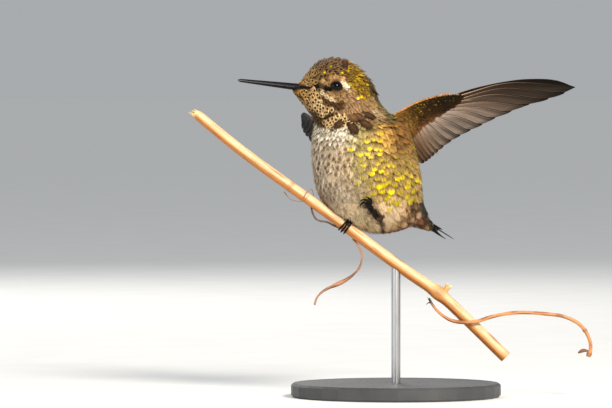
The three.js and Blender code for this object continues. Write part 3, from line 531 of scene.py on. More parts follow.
def feather_material(name, rough=0.72, sheen=0.04, grain=900, metal=0.45, shine=0.34):
    m, nt, b = new_material(name)
    tint = attribute(nt, "tint")
    noise = node(nt, "TexNoise", Scale=grain, Detail=3.0, Roughness=0.6)
    nt.links.new(coords(nt), noise.inputs["Vector"])
    var = ramp(nt, noise.outputs[0], [(0.25, 0.80), (0.75, 1.12)])
    nt.links.new(multiply(nt, tint.outputs["Color"], var), b.inputs["Base Color"])
    gl = attribute(nt, "gloss")
    mr = node(nt, "MapRange")
    mr.inputs["To Min"].default_value = rough
    mr.inputs["To Max"].default_value = shine
    nt.links.new(gl.outputs["Fac"], mr.inputs["Value"])
    nt.links.new(mr.outputs[0], b.inputs["Roughness"])
    mm = node(nt, "MapRange")
    mm.inputs["To Min"].default_value = 0.0
    mm.inputs["To Max"].default_value = metal
    nt.links.new(gl.outputs["Fac"], mm.inputs["Value"])
    nt.links.new(mm.outputs[0], b.inputs["Metallic"])
    b.inputs["Sheen Weight"].default_value = sheen
    b.inputs["Sheen Roughness"].default_value = 0.5
    b.inputs["Specular IOR Level"].default_value = 0.06
    bump_from(nt, b, noise.outputs[0], 0.25, 0.00005)
    return m


def vane_material(name, rough=0.62, sheen=0.0, barb=1.0):
    """flight feathers: tint, and barbs as fine slanting lines from the lay
    coordinates, which run in millimetres along the shaft and across it"""
    m, nt, b = new_material(name)
    tint = attribute(nt, "tint")
    lay_ = attribute(nt, "lay")
    mp = nt.nodes.new("ShaderNodeMapping")
    mp.inputs["Scale"].default_value = (5.0, 0.35, 1.0)
    nt.links.new(lay_.outputs["Vector"], mp.inputs["Vector"])
    noise = node(nt, "TexNoise", Scale=1.6, Detail=2.0, Roughness=0.55)
    nt.links.new(mp.outputs[0], noise.inputs["Vector"])
    var = ramp(nt, noise.outputs[0], [(0.3, 1 - 0.20 * barb), (0.7, 1 + 0.12 * barb)])
    nt.links.new(multiply(nt, tint.outputs["Color"], var), b.inputs["Base Color"])
    b.inputs["Roughness"].default_value = rough
    b.inputs["Sheen Weight"].default_value = sheen
    b.inputs["Specular IOR Level"].default_value = 0.07
    bump_from(nt, b, noise.outputs[0], 0.35, 0.00006)
    return m


COAT = feather_material("plumage")
SKIN = feather_material("skin_under_plumage", rough=0.85, sheen=0.0)
VANE = vane_material("flight_vane")
TAILM = vane_material("tail_vane", rough=0.45, sheen=0.0)


def eye_material():
    m, nt, b = new_material("eye_wet")
    tint = attribute(nt, "tint")
    noise = node(nt, "TexNoise", Scale=2600.0, Detail=2.0)
    nt.links.new(coords(nt), noise.inputs["Vector"])
    nt.links.new(multiply(nt, tint.outputs["Color"], ramp(nt, noise.outputs[0], [(0.3, 0.7), (0.7, 1.15)])), b.inputs["Base Color"])
    b.inputs["Roughness"].default_value = 0.06
    b.inputs["IOR"].default_value = 1.42
    b.inputs["Specular IOR Level"].default_value = 0.19
    return m


def horn_material(name, rough=0.3, scale=(900, 900, 900), bumpy=0.2, spec=0.2):
    m, nt, b = new_material(name)
    b.inputs["Specular IOR Level"].default_value = spec
    tint = attribute(nt, "tint")
    noise = node(nt, "TexNoise", Scale=1.0, Detail=4.0, Roughness=0.6)
    nt.links.new(coords(nt, scale), noise.inputs["Vector"])
    nt.links.new(multiply(nt, tint.outputs["Color"], ramp(nt, noise.outputs[0], [(0.3, 0.75), (0.7, 1.2)])), b.inputs["Base Color"])
    nt.links.new(ramp(nt, noise.outputs[0], [(0.3, rough * 0.8), (0.7, rough * 1.35)]), b.inputs["Roughness"])
    bump_from(nt, b, noise.outputs[0], bumpy, 0.00004)
    return m


EYE = eye_material()
HORN = horn_material("bill_horn_fine", 0.26, (500, 500, 900), spec=0.17)
CLAW = horn_material("claw_horn_fine", 0.28, spec=0.16)
LEG = horn_material("leg_scales", 0.5, (1800, 1800, 1800), 0.5, spec=0.10)


def stem_material():
    m, nt, b = new_material("dry_stem_fibre")
    tint = attribute(nt, "tint")
    lay_ = attribute(nt, "lay")
    mp = nt.nodes.new("ShaderNodeMapping")
    mp.inputs["Scale"].default_value = (0.16, 3.4, 3.4)
    nt.links.new(lay_.outputs["Vector"], mp.inputs["Vector"])
    fibre = node(nt, "TexNoise", Scale=1.5, Detail=5.0, Roughness=0.62)
    nt.links.new(mp.outputs[0], fibre.inputs["Vector"])
    c1 = multiply(nt, tint.outputs["Color"], ramp(nt, fibre.outputs[0], [(0.28, (0.62, 0.52, 0.42)), (0.5, (1.0, 1.0, 1.0)), (0.78, (1.10, 1.07, 1.02))]))
    nt.links.new(c1, b.inputs["Base Color"])
    nt.links.new(ramp(nt, fibre.outputs[0], [(0.3, 0.62), (0.7, 0.42)]), b.inputs["Roughness"])
    b.inputs["Specular IOR Level"].default_value = 0.45
    bump_from(nt, b, fibre.outputs[0], 0.6, 0.00012)
    return m


STEM_M = stem_material()


def stand_materials():
    m, nt, b = new_material("stand_powder_coat")
    n1 = node(nt, "TexNoise", Scale=1400.0, Detail=3.0)
    n2 = node(nt, "TexNoise", Scale=90.0, Detail=3.0)
    v = coords(nt)
    nt.links.new(v, n1.inputs["Vector"])
    nt.links.new(v, n2.inputs["Vector"])
    nt.links.new(ramp(nt, n2.outputs[0], [(0.3, (0.040, 0.041, 0.043)), (0.7, (0.062, 0.062, 0.064))]), b.inputs["Base Color"])
    nt.links.new(ramp(nt, n1.outputs[0], [(0.3, 0.42), (0.7, 0.6)]), b.inputs["Roughness"])
    bump_from(nt, b, n1.outputs[0], 0.35, 0.0001)
    s, nt, b = new_material("stand_brushed_steel")
    n1 = node(nt, "TexNoise", Scale=1.0, Detail=4.0)
    nt.links.new(coords(nt, (9000, 9000, 120)), n1.inputs["Vector"])
    nt.links.new(ramp(nt, n1.outputs[0], [(0.3, (0.42, 0.42, 0.43)), (0.7, (0.60, 0.60, 0.61))]), b.inputs["Base Color"])
    b.inputs["Metallic"].default_value = 1.0
    nt.links.new(ramp(nt, n1.outputs[0], [(0.3, 0.26), (0.7, 0.42)]), b.inputs["Roughness"])
    bump_from(nt, b, n1.outputs[0], 0.15, 0.00004)
    return m, s


STAND_PAINT, STAND_STEEL = stand_materials()
for nm, mt in (("stand_base", STAND_PAINT), ("stand_rod", STAND_STEEL)):
    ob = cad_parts[nm]
    ob.data.materials.clear()
    ob.data.materials.append(mt)

floor_m, nt, b = new_material("floor_pale")
n1 = node(nt, "TexNoise", Scale=40.0, Detail=2.0)
nt.links.new(coords(nt), n1.inputs["Vector"])
nt.links.new(ramp(nt, n1.outputs[0], [(0.3, (0.70, 0.70, 0.69)), (0.7, (0.73, 0.73, 0.72))]), b.inputs["Base Color"])
b.inputs["Roughness"].default_value = 1.0
b.inputs["Specular IOR Level"].default_value = 0.0
b.inputs["Emission Color"].default_value = (0.90, 0.93, 0.96, 1)
b.inputs["Emission Strength"].default_value = 0.13
# ------------------------------------------------------------- the markings
# One function gives the colours at a place on the bird; skin, vanes and down
# all read it. Colours are sRGB 0..255.
BODY_MID = np.array([-8.0, 5.0, 0.0])


def turned(p):
    """angle round the body from the breast, degrees, + to the bird's left"""
    q = p - BODY_MID
    return np.degrees(np.arctan2(q @ bodyL, q @ bodyF))


def near(h, at, size):
    """soft ellipsoid mask in head coordinates, mirrored on both sides"""
    q = np.stack([h[:, 0] - at[0], np.abs(h[:, 1]) - at[1], h[:, 2] - at[2]], -1) / np.asarray(size, float)
    return np.exp(-(q * q).sum(-1))


def line(h, a, b, width):
    """soft mask along a line in head coordinates, mirrored"""
    q = np.stack([h[:, 0], np.abs(h[:, 1]), h[:, 2]], -1)
    a, b = np.asarray(a, float), np.asarray(b, float)
    t = np.clip((q - a) @ (b - a) / ((b - a) @ (b - a)), 0, 1)
    d = np.linalg.norm(q - (a + t[:, None] * (b - a)), axis=1)
    return np.exp(-(d / width) ** 2)


def seg(p, a, b, width):
    """soft mask along a line through the body"""
    a, b = np.asarray(a, float), np.asarray(b, float)
    t = np.clip((p - a) @ (b - a) / ((b - a) @ (b - a)), 0, 1)
    return np.exp(-(np.linalg.norm(p - (a + t[:, None] * (b - a)), axis=1) / width) ** 2)


def lay(c, w, colour):
    return c + (np.asarray(colour, float) - c) * w[:, None]


def value_noise(p, size, seed=0):
    """smooth noise 0..1 at points p"""
    q = p / size + 100.0 + seed * 7.31
    i = np.floor(q).astype(np.int64)
    f = q - i
    f = f * f * (3 - 2 * f)
    out = np.zeros(len(p))
    for a in (0, 1):
        for b in (0, 1):
            for c in (0, 1):
                k = (i[:, 0] + a) * 73856093 ^ (i[:, 1] + b) * 19349663 ^ (i[:, 2] + c) * 83492791 ^ (seed * 2654435)
                k = (k ^ (k >> 13)) * 1274126177 & 0x7fffffff
                r = (k % 100003) / 100003.0
                w = (f[:, 0] if a else 1 - f[:, 0]) * (f[:, 1] if b else 1 - f[:, 1]) * (f[:, 2] if c else 1 - f[:, 2])
                out += r * w
    return out


def gape(h):
    """1 in the wedge of bare dark bill and gape that runs back into the face"""
    f, l, u = h[:, 0], np.abs(h[:, 1]), h[:, 2]
    hi = np.interp(f, [8.0, 12.6], [-0.98, -0.45])
    lo = np.interp(f, [8.0, 12.6], [-1.26, -1.95])
    return smooth(0.12, -0.02, u - hi) * smooth(-0.12, 0.02, u - lo) * smooth(8.0, 8.8, f)


def markings(p):
    """base colour, disc colour, disc strength, chance of a glittering disc,
    and the pattern kind weights"""
    h = to_head(p)
    f, l, u = h[:, 0], np.abs(h[:, 1]), h[:, 2]
    az, z = turned(p), p[:, 2]
    aaz = np.where(az < 0, np.maximum(-az - 24.0, 0) * 1.35, az)      # the breast's pale field lies to the right
    n = len(p)

    # where the head ends: lower edge of the throat in front, nape behind
    edge = 76.7 + 1.0 * smooth(6, 30, np.abs(az)) + 1.7 * smooth(60, 110, np.abs(az)) - 5.0 * smooth(120, 170, np.abs(az))
    head = smooth(-0.5, 0.5, z - edge)
    crown_line = np.interp(f, [-11.5, -9.8, -8.4, -6.9, -3.9, -1.9, 0.1, 3.6, 5.8, 6.8, 8.3, 11, 14], [-3.4, -2.0, -2.3, -3.2, -1.6, 0.2, 3.0, 3.3, 1.6, -0.3, -0.6, -1.0, -1.1])
    throat_line = np.interp(f, [-9, -5, -1, 0.5, 3, 5, 7, 8.5, 11, 14], [-12, -10.0, -8.2, -7.0, -3.9, -2.2, -1.4, -1.4, -1.6, -1.8])
    crown = smooth(-0.5, 0.5, u - crown_line)
    throat = smooth(0.5, -0.5, u - throat_line)

    # body: white breast with dark spots, olive and gold toward the flanks
    # paler toward the top of the breast: partly the breast's own colour and partly painted light where the top faces
    # the lamp
    base = mix(np.array([217.0, 193, 157]), np.array([255.0, 241, 214]), smooth(68.0, 74.5, z)[:, None])
    disc = np.tile(np.array([70.0, 47, 33]), (n, 1))
    dstr = mix(0.76, 0.99, smooth(61, 66, z)) * mix(1.0, 0.62, smooth(72.4, 74.5, z))
    spot = np.zeros(n)                                   # chance of a glittering disc
    shade = smooth(-14, -42, az) * smooth(76, 68, z) + smooth(34, 16, aaz) * smooth(64, 56, z)
    base = lay(base, np.clip(shade, 0, 1) * mix(0.22, 0.50, smooth(63, 57, z)), [176, 162, 144])
    # painted shade: a darker patch low on the left of the belly, the side away from the light
    low_left_shade = bump(az, -22, 14) * bump(z, 55.0, 3.5)
    base = lay(base, low_left_shade * 0.5, [106, 88, 74])
    flank = smooth(26, 58, aaz) * smooth(50.5, 55.5, z)
    mid = smooth(12, 34, aaz)
    base = lay(base, mid * 0.9, mix(np.array([174.0, 155, 122]), np.array([179.0, 160, 99]), smooth(60, 66, z)[:, None]))
    disc = lay(disc, mid, [116, 102, 58])
    base = lay(base, flank * 0.9, [162, 131, 74])
    disc = lay(disc, flank * 0.9, [128, 104, 58])
    upper = smooth(66, 74, z) * smooth(44, 62, aaz)
    base = lay(base, upper * 0.95, lay(np.tile([142.0, 99, 50], (n, 1)), smooth(84, 60, aaz) * smooth(66, 71, z), [234, 184, 90]))
    disc = lay(disc, upper, [92, 60, 28])
    dstr = dstr * (1 - 0.25 * flank) * (1 - 0.35 * upper * smooth(70, 60, aaz))
    base = lay(base, 0.60 * bump(az, -20, 18) * smooth(57.5, 60.5, z) * smooth(73, 67, z), [246, 232, 210])
    lower = smooth(67, 59, z) * smooth(38, 66, aaz)
    # the glittering discs run down and back in a band that widens on the flank
    zk = [55.5, 57, 60, 64, 68, 72, 75, 78]
    mid_az = np.interp(z, zk, [64, 66, 76, 66, 50, 45, 43, 42])
    wide = np.interp(z, zk, [16, 22, 40, 36, 26, 19, 14, 10])
    chance = np.interp(z, zk, [0.0, 0.55, 0.92, 0.72, 0.76, 0.84, 0.74, 0.2])
    away = (aaz - mid_az) / wide
    spot = np.maximum(spot, chance * smooth(1.15, 0.55, np.abs(away)))
    spot = np.maximum(spot, 0.30 * flank * smooth(126, 110, aaz) * smooth(76, 72, z) * smooth(56, 59, z))
    belly = smooth(57.0, 53.5, z) * smooth(125, 95, aaz)
    # the pale belly is less pale on its left side: painted shade
    base = lay(base, belly * 0.9 * mix(1.0, 0.40, smooth(4, -16, az)), [238, 208, 164])
    disc = lay(disc, belly, [120, 92, 62])
    dstr = mix(dstr, 0.55, belly)
    spot = spot * (1 - belly)
    tuft = np.clip(1.3 * bump(aaz, 74, 14) * bump(z, 53.0, 2.6), 0, 1)
    base = lay(base, tuft, [226, 196, 160])
    dstr = dstr * (1 - 0.85 * tuft)
    under = smooth(90, 103, aaz) * smooth(56.0, 53.0, z)
    base = lay(base, under * 0.9, [166, 130, 88])
    disc = lay(disc, under, [66, 42, 26])
    dstr = mix(dstr, 0.9, under)
    q = p - np.array([0.5, 11.5, 55.8])
    far = q @ unit(np.array([9.1, 9.0, -7.3]))
    above = q @ unit(np.array([0.35, 0.33, 0.88]))
    tailtop = smooth(0.5, 3.0, far) * smooth(-1.6, 0.6, above)
    back = smooth(120, 140, aaz) * smooth(49, 54, z)
    back = np.maximum(back, smooth(108, 128, aaz) * smooth(66, 72, z))
    base = lay(base, back, [128, 108, 62])
    disc = lay(disc, back, [70, 72, 26])
    dstr = mix(dstr, 0.9, back)
    spot = mix(spot, 0.72, back) * (1 - smooth(100, 112, aaz) * smooth(62, 58, z))
    base = lay(base, tailtop, [58, 56, 48])
    disc = lay(disc, tailtop, [26, 29, 30])
    spot = spot * (1 - 0.7 * tailtop) * smooth(54.0, 57.0, z)
    # a dark gap beside the left shank, painted shade between shank and body; and brown edges under the tail
    shank_shade = np.maximum(seg(p, (-7.4, -7.4, 54.6), (-5.9, -5.0, 51.9), 1.15), np.maximum(seg(p, (-5.6, -4.9, 51.9), (-4.4, -1.2, 49.4), 0.62), seg(p, (-4.3, -0.9, 49.3), (-4.4, 2.9, 47.4), 0.5)))
    shank_shade = np.clip(shank_shade * 1.9, 0, 1)
    base = lay(base, shank_shade * 0.85, [52, 34, 24])
    disc = lay(disc, shank_shade, [34, 24, 18])

    # head
    hb = np.tile(np.array([156.0, 122, 86]), (n, 1))       # ear and cheek
    hd = np.tile(np.array([92.0, 64, 38]), (n, 1))
    hs = np.full(n, 0.68)
    hspot = np.zeros(n)
    cheek = np.clip(near(h, (2.4, 8.0, -2.4), (3.0, 3.0, 1.5)) * 1.2, 0, 1)
    hb = lay(hb, cheek * 0.8, [190, 146, 94])
    hd = lay(hd, cheek, [70, 46, 24])
    hs = mix(hs, 0.9, cheek)
    side_neck = smooth(-4.5, -8.5, f) * smooth(0.0, -4.0, u) * smooth(2.5, 5.5, l)
    back_neck = smooth(-5.0, -8.5, f) * smooth(0.0, -4.0, u) * smooth(6.0, 3.0, l)
    hb = lay(hb, side_neck, [152, 120, 79])
    hd = lay(hd, side_neck, [104, 74, 44])
    hb = lay(hb, 0.7 * near(h, (-11.4, 8.2, -6.4), (2.2, 2.2, 1.9)), [240, 214, 172])
    hb = lay(hb, back_neck, [112, 98, 60])
    hd = lay(hd, back_neck, [62, 60, 28])
    hspot = np.maximum(hspot, 0.35 * back_neck)
    nb = smooth(66, 88, np.abs(az)) * smooth(-3.5, -6.0, f) * smooth(1.5, -1.5, u)
    hb = lay(hb, nb, [112, 98, 60])
    hd = lay(hd, nb, [62, 60, 28])
    hspot = np.maximum(hspot, 0.35 * nb)
    hb = lay(hb, throat, [248, 206, 146])
    hd = lay(hd, throat, [44, 26, 12])
    hs = mix(hs, 0.97, throat)
    chin = throat * smooth(6.0, 9.5, f)
    hb = lay(hb, chin * 0.8, mix(np.array([172.0, 130, 70]), np.array([122.0, 82, 26]), smooth(9.6, 11.4, f)[:, None]))
    hd = lay(hd, chin, [36, 22, 10])
    # dark lower throat, painted shade under the head and chin; and the dark bars between the pale spotted ones
    low = throat * np.clip(smooth(-7.0, -8.2, u) * smooth(3.3, 2.3, l) * smooth(3.0, 4.0, f) + smooth(-11.2, -11.9, u) * smooth(4.2, 3.2, l) + line(h, (4.4, 2.4, -10.1), (2.6, 5.7, -8.6), 0.8) + line(h, (2.6, 5.7, -8.6), (1.2, 7.0, -7.5), 0.6), 0, 1)
    hb = lay(hb, low * 0.92, [86, 62, 32])
    hd = lay(hd, low, [34, 22, 10])
    bar = np.clip(1.25 * (line(h, (5.8, 5.8, -4.0), (4.2, 6.7, -5.0), 0.75) + line(h, (4.2, 6.7, -5.0), (2.3, 7.4, -5.6), 0.8) + line(h, (2.3, 7.4, -5.6), (0.2, 8.0, -5.0), 0.85)
                      + line(h, (0.7, 7.6, -5.0), (0.4, 7.4, -6.6), 0.9)), 0, 1)
    hb = lay(hb, bar * 0.85, [84, 58, 32])
    hd = lay(hd, bar, [44, 28, 14])
    pale = np.clip(1.35 * line(h, (5.9, 6.2, -2.6), (3.0, 7.8, -4.1), 0.62), 0, 1)
    hb = lay(hb, pale * 0.85, [246, 214, 162])
    hs = hs * (1 - 0.5 * pale)
    # crown and nape
    hb = lay(hb, crown, mix(np.array([182.0, 141, 84]), np.array([204.0, 156, 96]), smooth(8.6, 10.2, f)[:, None]))
    hd = lay(hd, crown, [32, 21, 11])
    hs = mix(hs, 0.97, crown)
    top = crown * smooth(4.6, 6.0, u) * smooth(7.0, 5.0, f) * smooth(-3.5, -1.5, f)
    hb = lay(hb, top * 0.8, [160, 126, 84])
    hd = lay(hd, top, [64, 46, 34])
    hb = lay(hb, 0.25 * crown * near(h, (3.7, 6.2, 3.9), (2.6, 2.4, 1.1)), [94, 66, 46])
    gold = crown * smooth(1.0, -2.2, f)
    hb = lay(hb, gold, mix(np.array([146.0, 111, 42]), np.array([244.0, 190, 34]), smooth(0.40, 0.62, value_noise(p, 1.05, 21))[:, None]))
    hd = lay(hd, gold, [84, 64, 24])
    hspot = mix(hspot, 0.13, gold)
    nape = crown * smooth(-7.0, -9.5, f)
    hb = lay(hb, nape, [122, 98, 56])
    hd = lay(hd, nape, [62, 48, 28])
    hspot = hspot * (1 - 0.7 * nape)
    brow = line(h, (6.1, 6.0, 1.0), (3.6, 7.1, 2.5), 0.8) + line(h, (3.6, 7.1, 2.5), (0.4, 7.5, 2.6), 0.62) + 0.9 * line(h, (5.3, 6.6, 0.9), (4.2, 7.3, 1.2), 0.7)
    brow = np.clip(brow * 1.3, 0, 1)
    hb = lay(hb, brow, [172, 131, 82])
    hd = lay(hd, brow, [160, 112, 62])
    hs = hs * (1 - 0.5 * brow)
    hspot = hspot * (1 - brow)
    lore = np.clip(1.5 * line(h, (7.0, 5.2, -0.8), (4.5, 7.5, -1.2), 0.50) + 1.0 * line(h, (10.2, 2.0, -1.3), (7.4, 4.6, -0.8), 0.20) + 1.2 * line(h, (6.4, 6.0, -1.4), (5.2, 7.0, -1.6), 0.5), 0, 1)
    hb = lay(hb, lore, [26, 17, 11])
    hd = lay(hd, lore, [16, 10, 7])
    cream = np.clip(1.7 * (line(h, (0.9, 8.0, 1.2), (-0.2, 8.3, 0.6), 0.62) + line(h, (-0.2, 8.3, 0.7), (-1.5, 8.6, -0.1), 0.66)), 0, 1)
    hb = lay(hb, cream, [252, 232, 192])
    hd = lay(hd, cream, [246, 216, 166])
    hs = hs * (1 - cream)
    hspot = hspot * (1 - cream)
    hb = lay(hb, gape(h), [26, 22, 22])
    hd = lay(hd, gape(h), [22, 18, 18])
    rim = near(h, (2.4, 8.0, -0.1), (2.1, 2.5, 1.9)) * (1 - cream) * (1 - lore) * (1 - brow)
    hb = lay(hb, rim * 0.55, [120, 84, 50])

    base = base + (hb - base) * head[:, None]
    disc = disc + (hd - disc) * head[:, None]
    dstr = mix(dstr, hs, head)
    spot = mix(spot, hspot, head)
    return {
        "base": base, "disc": disc, "strength": dstr, "spot": spot, "head": head,
        "crown": crown * head, "throat": throat * head, "flank": flank * (1 - head), "belly": belly * (1 - head),
        "back": back * (1 - head), "gold": gold * head, "tuft": tuft * (1 - head), "lore": lore * head, "mid": mid * (1 - head),
        "under": under * (1 - head), "az": az, "breast": (1 - head) * (1 - flank) * (1 - belly) * (1 - back), "lower": lower * (1 - head),
    }


def fine_head(c, ratio, p):
    """the head's sharp-edged marks, read at every point of a feather"""
    h = to_head(p)
    edge = lambda m, lo=0.40, hi=0.60: smooth(lo, hi, m)
    tone = lambda m, w, rgb: c + (np.array(rgb, float) * ratio[:, None] - c) * (m * w)[:, None]
    brow = np.maximum(line(h, (6.2, 5.9, 1.1), (3.6, 7.1, 2.4), 0.62), line(h, (3.6, 7.1, 2.5), (0.6, 7.5, 2.6), 0.48))
    brow = np.maximum(brow, line(h, (5.6, 6.4, 0.7), (4.4, 7.2, 1.3), 0.60))
    c = tone(edge(brow), 0.84, [176, 138, 90])
    pale = np.maximum(line(h, (6.2, 6.0, -2.3), (4.6, 7.2, -3.2), 0.56), line(h, (4.6, 7.2, -3.3), (2.9, 7.8, -4.2), 0.72))
    c = tone(edge(pale), 0.80, [255, 226, 176])
    dark = np.maximum(line(h, (5.9, 5.9, -3.9), (4.2, 6.8, -4.9), 0.50), line(h, (4.2, 6.8, -4.9), (2.4, 7.4, -5.5), 0.60))
    dark = np.maximum(dark, line(h, (2.4, 7.4, -5.5), (0.5, 7.5, -6.4), 0.55))
    dark = np.maximum(dark, line(h, (2.2, 7.6, -5.3), (0.3, 8.1, -4.9), 0.62))
    c = tone(edge(dark), 0.72, [64, 42, 24])
    # painted shade: a dark line along the lower edge of the throat
    throat_shade_line = np.maximum(line(h, (4.2, 2.8, -10.0), (2.5, 5.8, -8.5), 0.34), line(h, (2.5, 5.8, -8.5), (1.3, 6.9, -7.6), 0.26))
    c = tone(edge(throat_shade_line), 0.8, [36, 22, 12])
    lore = np.maximum(gape(h), line(h, (10.2, 2.0, -1.25), (7.8, 4.4, -0.85), 0.30))
    lore = np.maximum(lore, line(h, (7.8, 4.4, -0.85), (6.2, 6.1, -0.68), 0.38))
    lore = np.maximum(lore, line(h, (6.1, 6.2, -0.85), (4.3, 7.6, -1.05), 0.72))
    c = tone(edge(lore, 0.34, 0.56), 0.96, [22, 14, 9])
    cream = np.maximum(line(h, (0.9, 8.0, 1.3), (-0.1, 8.3, 0.7), 0.62), line(h, (-0.1, 8.3, 0.6), (-1.4, 8.6, -0.1), 0.60))
    cream = np.maximum(cream, line(h, (0.4, 8.2, 0.2), (-0.6, 8.5, -0.3), 0.56))
    return tone(edge(cream), 0.97, [255, 238, 198])


def coat_depth(p):
    """depth of the skin below the feathers' surface"""
    h = to_head(p)
    b = np.linalg.norm(p - head_point(12.5, 0, -1.6), axis=1)
    d = mix(0.38, 1.0, smooth(1.0, 12.0, b))
    d = mix(d, 1.9, smooth(82, 74, p[:, 2]))
    for e in (EYE_L, EYE_R):
        d = mix(d, 0.5, np.exp(-((np.linalg.norm(p - e, axis=1) - 1.0).clip(0) / 1.6) ** 2))
    return d
# ------------------------------------------------------------------ feathers
F = Field()


def turn_about(v, n, ang):
    c, s = np.cos(ang)[:, None], np.sin(ang)[:, None]
    return v * c + np.cross(n, v) * s


def march(root, length, level0, level1, angle, steps=4, bend=None, rise=0.8):
    """centre lines of feathers lying along the body from their roots"""
    pts, nrm, way = [], [], []
    p = F.settle(root, level0)
    ang = angle
    for k in range(steps + 1):
        d, g = F(p)
        n = unit(g)
        w = turn_about(lie(p, n), n, ang + (0 if bend is None else bend * k / steps))
        pts.append(p)
        nrm.append(n)
        way.append(w)
        if k < steps:
            t = (k + 1) / steps
            q = p + w * (length / steps)[:, None]
            p = F.settle(q, mix(level0, level1, t ** rise), 1)
    return np.stack(pts, 1), np.stack(nrm, 1), np.stack(way, 1)


def along(path, t):
    """points of paths (N, M, 3) at t (N, ...) from 0 to 1"""
    m = path.shape[1] - 1
    x = np.clip(t, 0, 1) * m
    i = np.minimum(x.astype(int), m - 1)
    f = (x - i)[..., None]
    k = np.arange(path.shape[0]).reshape((-1,) + (1,) * (t.ndim - 1))
    return path[k, i] * (1 - f) + path[k, i + 1] * f


def vanes(path, nrm, way, width, cols, look, jag=0.10, cup=0.25, rows=(0, 0.42, 0.74, 1.0), taper=0.35, splay=0.08, blunt=0.34, lift=0.05, droop=2.2):
    """feathers as fans of barbs side by side, joined into arrays.
    look(t, u, k) gives the colour and gloss at a place on feather k"""
    n = len(path)
    side = unit(np.cross(nrm, way))
    R = len(rows)
    rho = np.asarray(rows)
    j = np.arange(cols)
    uc = (2 * j + 1) / cols - 1
    tip = 1 - blunt * np.abs(uc) ** droop - rng.random((n, cols)) * jag            # (n, cols)
    t = tip[:, :, None] * rho                                                     # (n, cols, R)
    wt = width[:, None, None] * (taper + (1 - taper) * smooth(0, 0.5, t)) * (1 + splay * t)
    P, N, S = along(path, t), along(nrm, t), along(side, t)
    wob = rng.normal(0, 0.35, (n, cols)) / cols
    verts, us = [], []
    L = lift * rng.normal(0, 1, (n, cols))[:, :, None] * t ** 2
    for r in range(R):
        ends = (-1, 1) if r < R - 1 else (0,)
        for e in ends:
            u = uc + e / cols
            uu = u[None, :] + wob * rho[r] ** 2
            off = -cup * width[:, None] * uu ** 2 + L[:, :, r]
            verts.append(P[:, :, r] + S[:, :, r] * (uu * wt[:, :, r])[..., None] + N[:, :, r] * off[..., None])
            us.append((np.broadcast_to(uu, (n, cols)), t[:, :, r], tip))
    m = len(verts)
    V = np.stack(verts, 2).reshape(-1, 3)                                         # (n, cols, m, 3)
    U = np.stack([a[0] for a in us], 2).ravel()
    T = np.stack([a[1] for a in us], 2).ravel()
    E = np.stack([np.broadcast_to(a[2], (n, cols)) for a in us], 2).ravel()
    K = np.repeat(np.arange(n), cols * m)
    B = np.repeat(np.arange(n * cols), m)
    o = np.arange(n * cols)[:, None] * m
    quads = np.concatenate([o + np.array([2 * r, 2 * r + 1, 2 * r + 3, 2 * r + 2]) for r in range(R - 2)])
    a = 2 * (R - 2)
    tris = o + np.array([a, a + 1, a + 2])
    col, gloss = look(T, U, K, T / E)
    shade = 1 + 0.10 * rng.normal(0, 1, n * cols)[B] * (0.4 + 0.6 * T)
    col = np.clip(col * shade[:, None], 0, 255)
    return V, quads, tris, col, gloss, U, T, K


def patch_uv(roots_uv, U, T, K, size=0.0035):
    return roots_uv[K] + size * np.stack([0.5 * U, T - 0.5], -1)


def thin(points, radius, order):
    """indices of points kept so that none is nearer than its radius"""
    cell = float(radius.max())
    grid = {}
    keep = []
    key = np.floor(points / cell).astype(int)
    pts = points.tolist()
    rad = radius.tolist()
    keys = key.tolist()
    for i in order:
        x, y, z = pts[i]
        r2 = rad[i] ** 2
        kx, ky, kz = keys[i]
        ok = True
        for a in (kx - 1, kx, kx + 1):
            for b in (ky - 1, ky, ky + 1):
                for c in (kz - 1, kz, kz + 1):
                    for q in grid.get((a, b, c), ()):
                        if (q[0] - x) ** 2 + (q[1] - y) ** 2 + (q[2] - z) ** 2 < r2:
                            ok = False
                            break
                    if not ok:
                        break
                if not ok:
                    break
            if not ok:
                break
        if ok:
            grid.setdefault((kx, ky, kz), []).append((x, y, z))
            keep.append(i)
    return np.array(keep, int)


# ---------------------------------------------------------------------- skin
skin_level = F.val.ravel() + coat_depth(F.points)
sv, sq = surface_nets(skin_level.reshape(F.n), GRID_LO, GRID_STEP)
skin_mark = markings(sv)


def sample_skin(count):
    """random points on the skin's faces, by area"""
    a, b, c, d = (sv[sq[:, k]] for k in range(4))
    area = 0.5 * np.linalg.norm(np.cross(c - a, d - b), axis=1)
    pick = rng.choice(len(sq), count, p=area / area.sum())
    s, t = rng.random((2, count))
    pts = (a[pick] * ((1 - s) * (1 - t))[:, None] + b[pick] * (s * (1 - t))[:, None]
           + c[pick] * (s * t)[:, None] + d[pick] * ((1 - s) * t)[:, None])
    return pts, area.sum()
def pitch(p, m):
    """distance between neighbouring feathers"""
    h = to_head(p)
    b = np.linalg.norm(p - head_point(11.5, 0, -1.6), axis=1)
    face = mix(0.78, 1.06, smooth(0.5, 5.5, b))
    r = mix(face, 1.18, smooth(-2.0, -8.0, h[:, 0]))
    r = mix(r, 1.30, smooth(81, 77.5, p[:, 2]) * (1 - m["head"]))
    r = mix(r, 2.00, smooth(78, 72, p[:, 2]) * (1 - m["head"]))
    r = mix(r, 1.78, m["mid"] * (1 - m["head"]))
    r = mix(r, 1.75, m["flank"])
    r = mix(r, 2.15, m["lower"] * m["flank"])
    r = mix(r, 2.0, m["back"])
    r = mix(r, 1.6, m["under"])
    for e in (EYE_L, EYE_R):
        d = np.linalg.norm(p - e, axis=1)
        r = mix(r, 0.56, np.exp(-((d - 2.0).clip(0) / 1.2) ** 2))
    return r


cand, skin_area = sample_skin(60000)
cm = markings(cand)
cr = pitch(cand, cm)
keep = np.ones(len(cand), bool)
for e in (EYE_L, EYE_R):
    keep &= np.linalg.norm(cand - e, axis=1) > EYE_RADIUS + 0.12
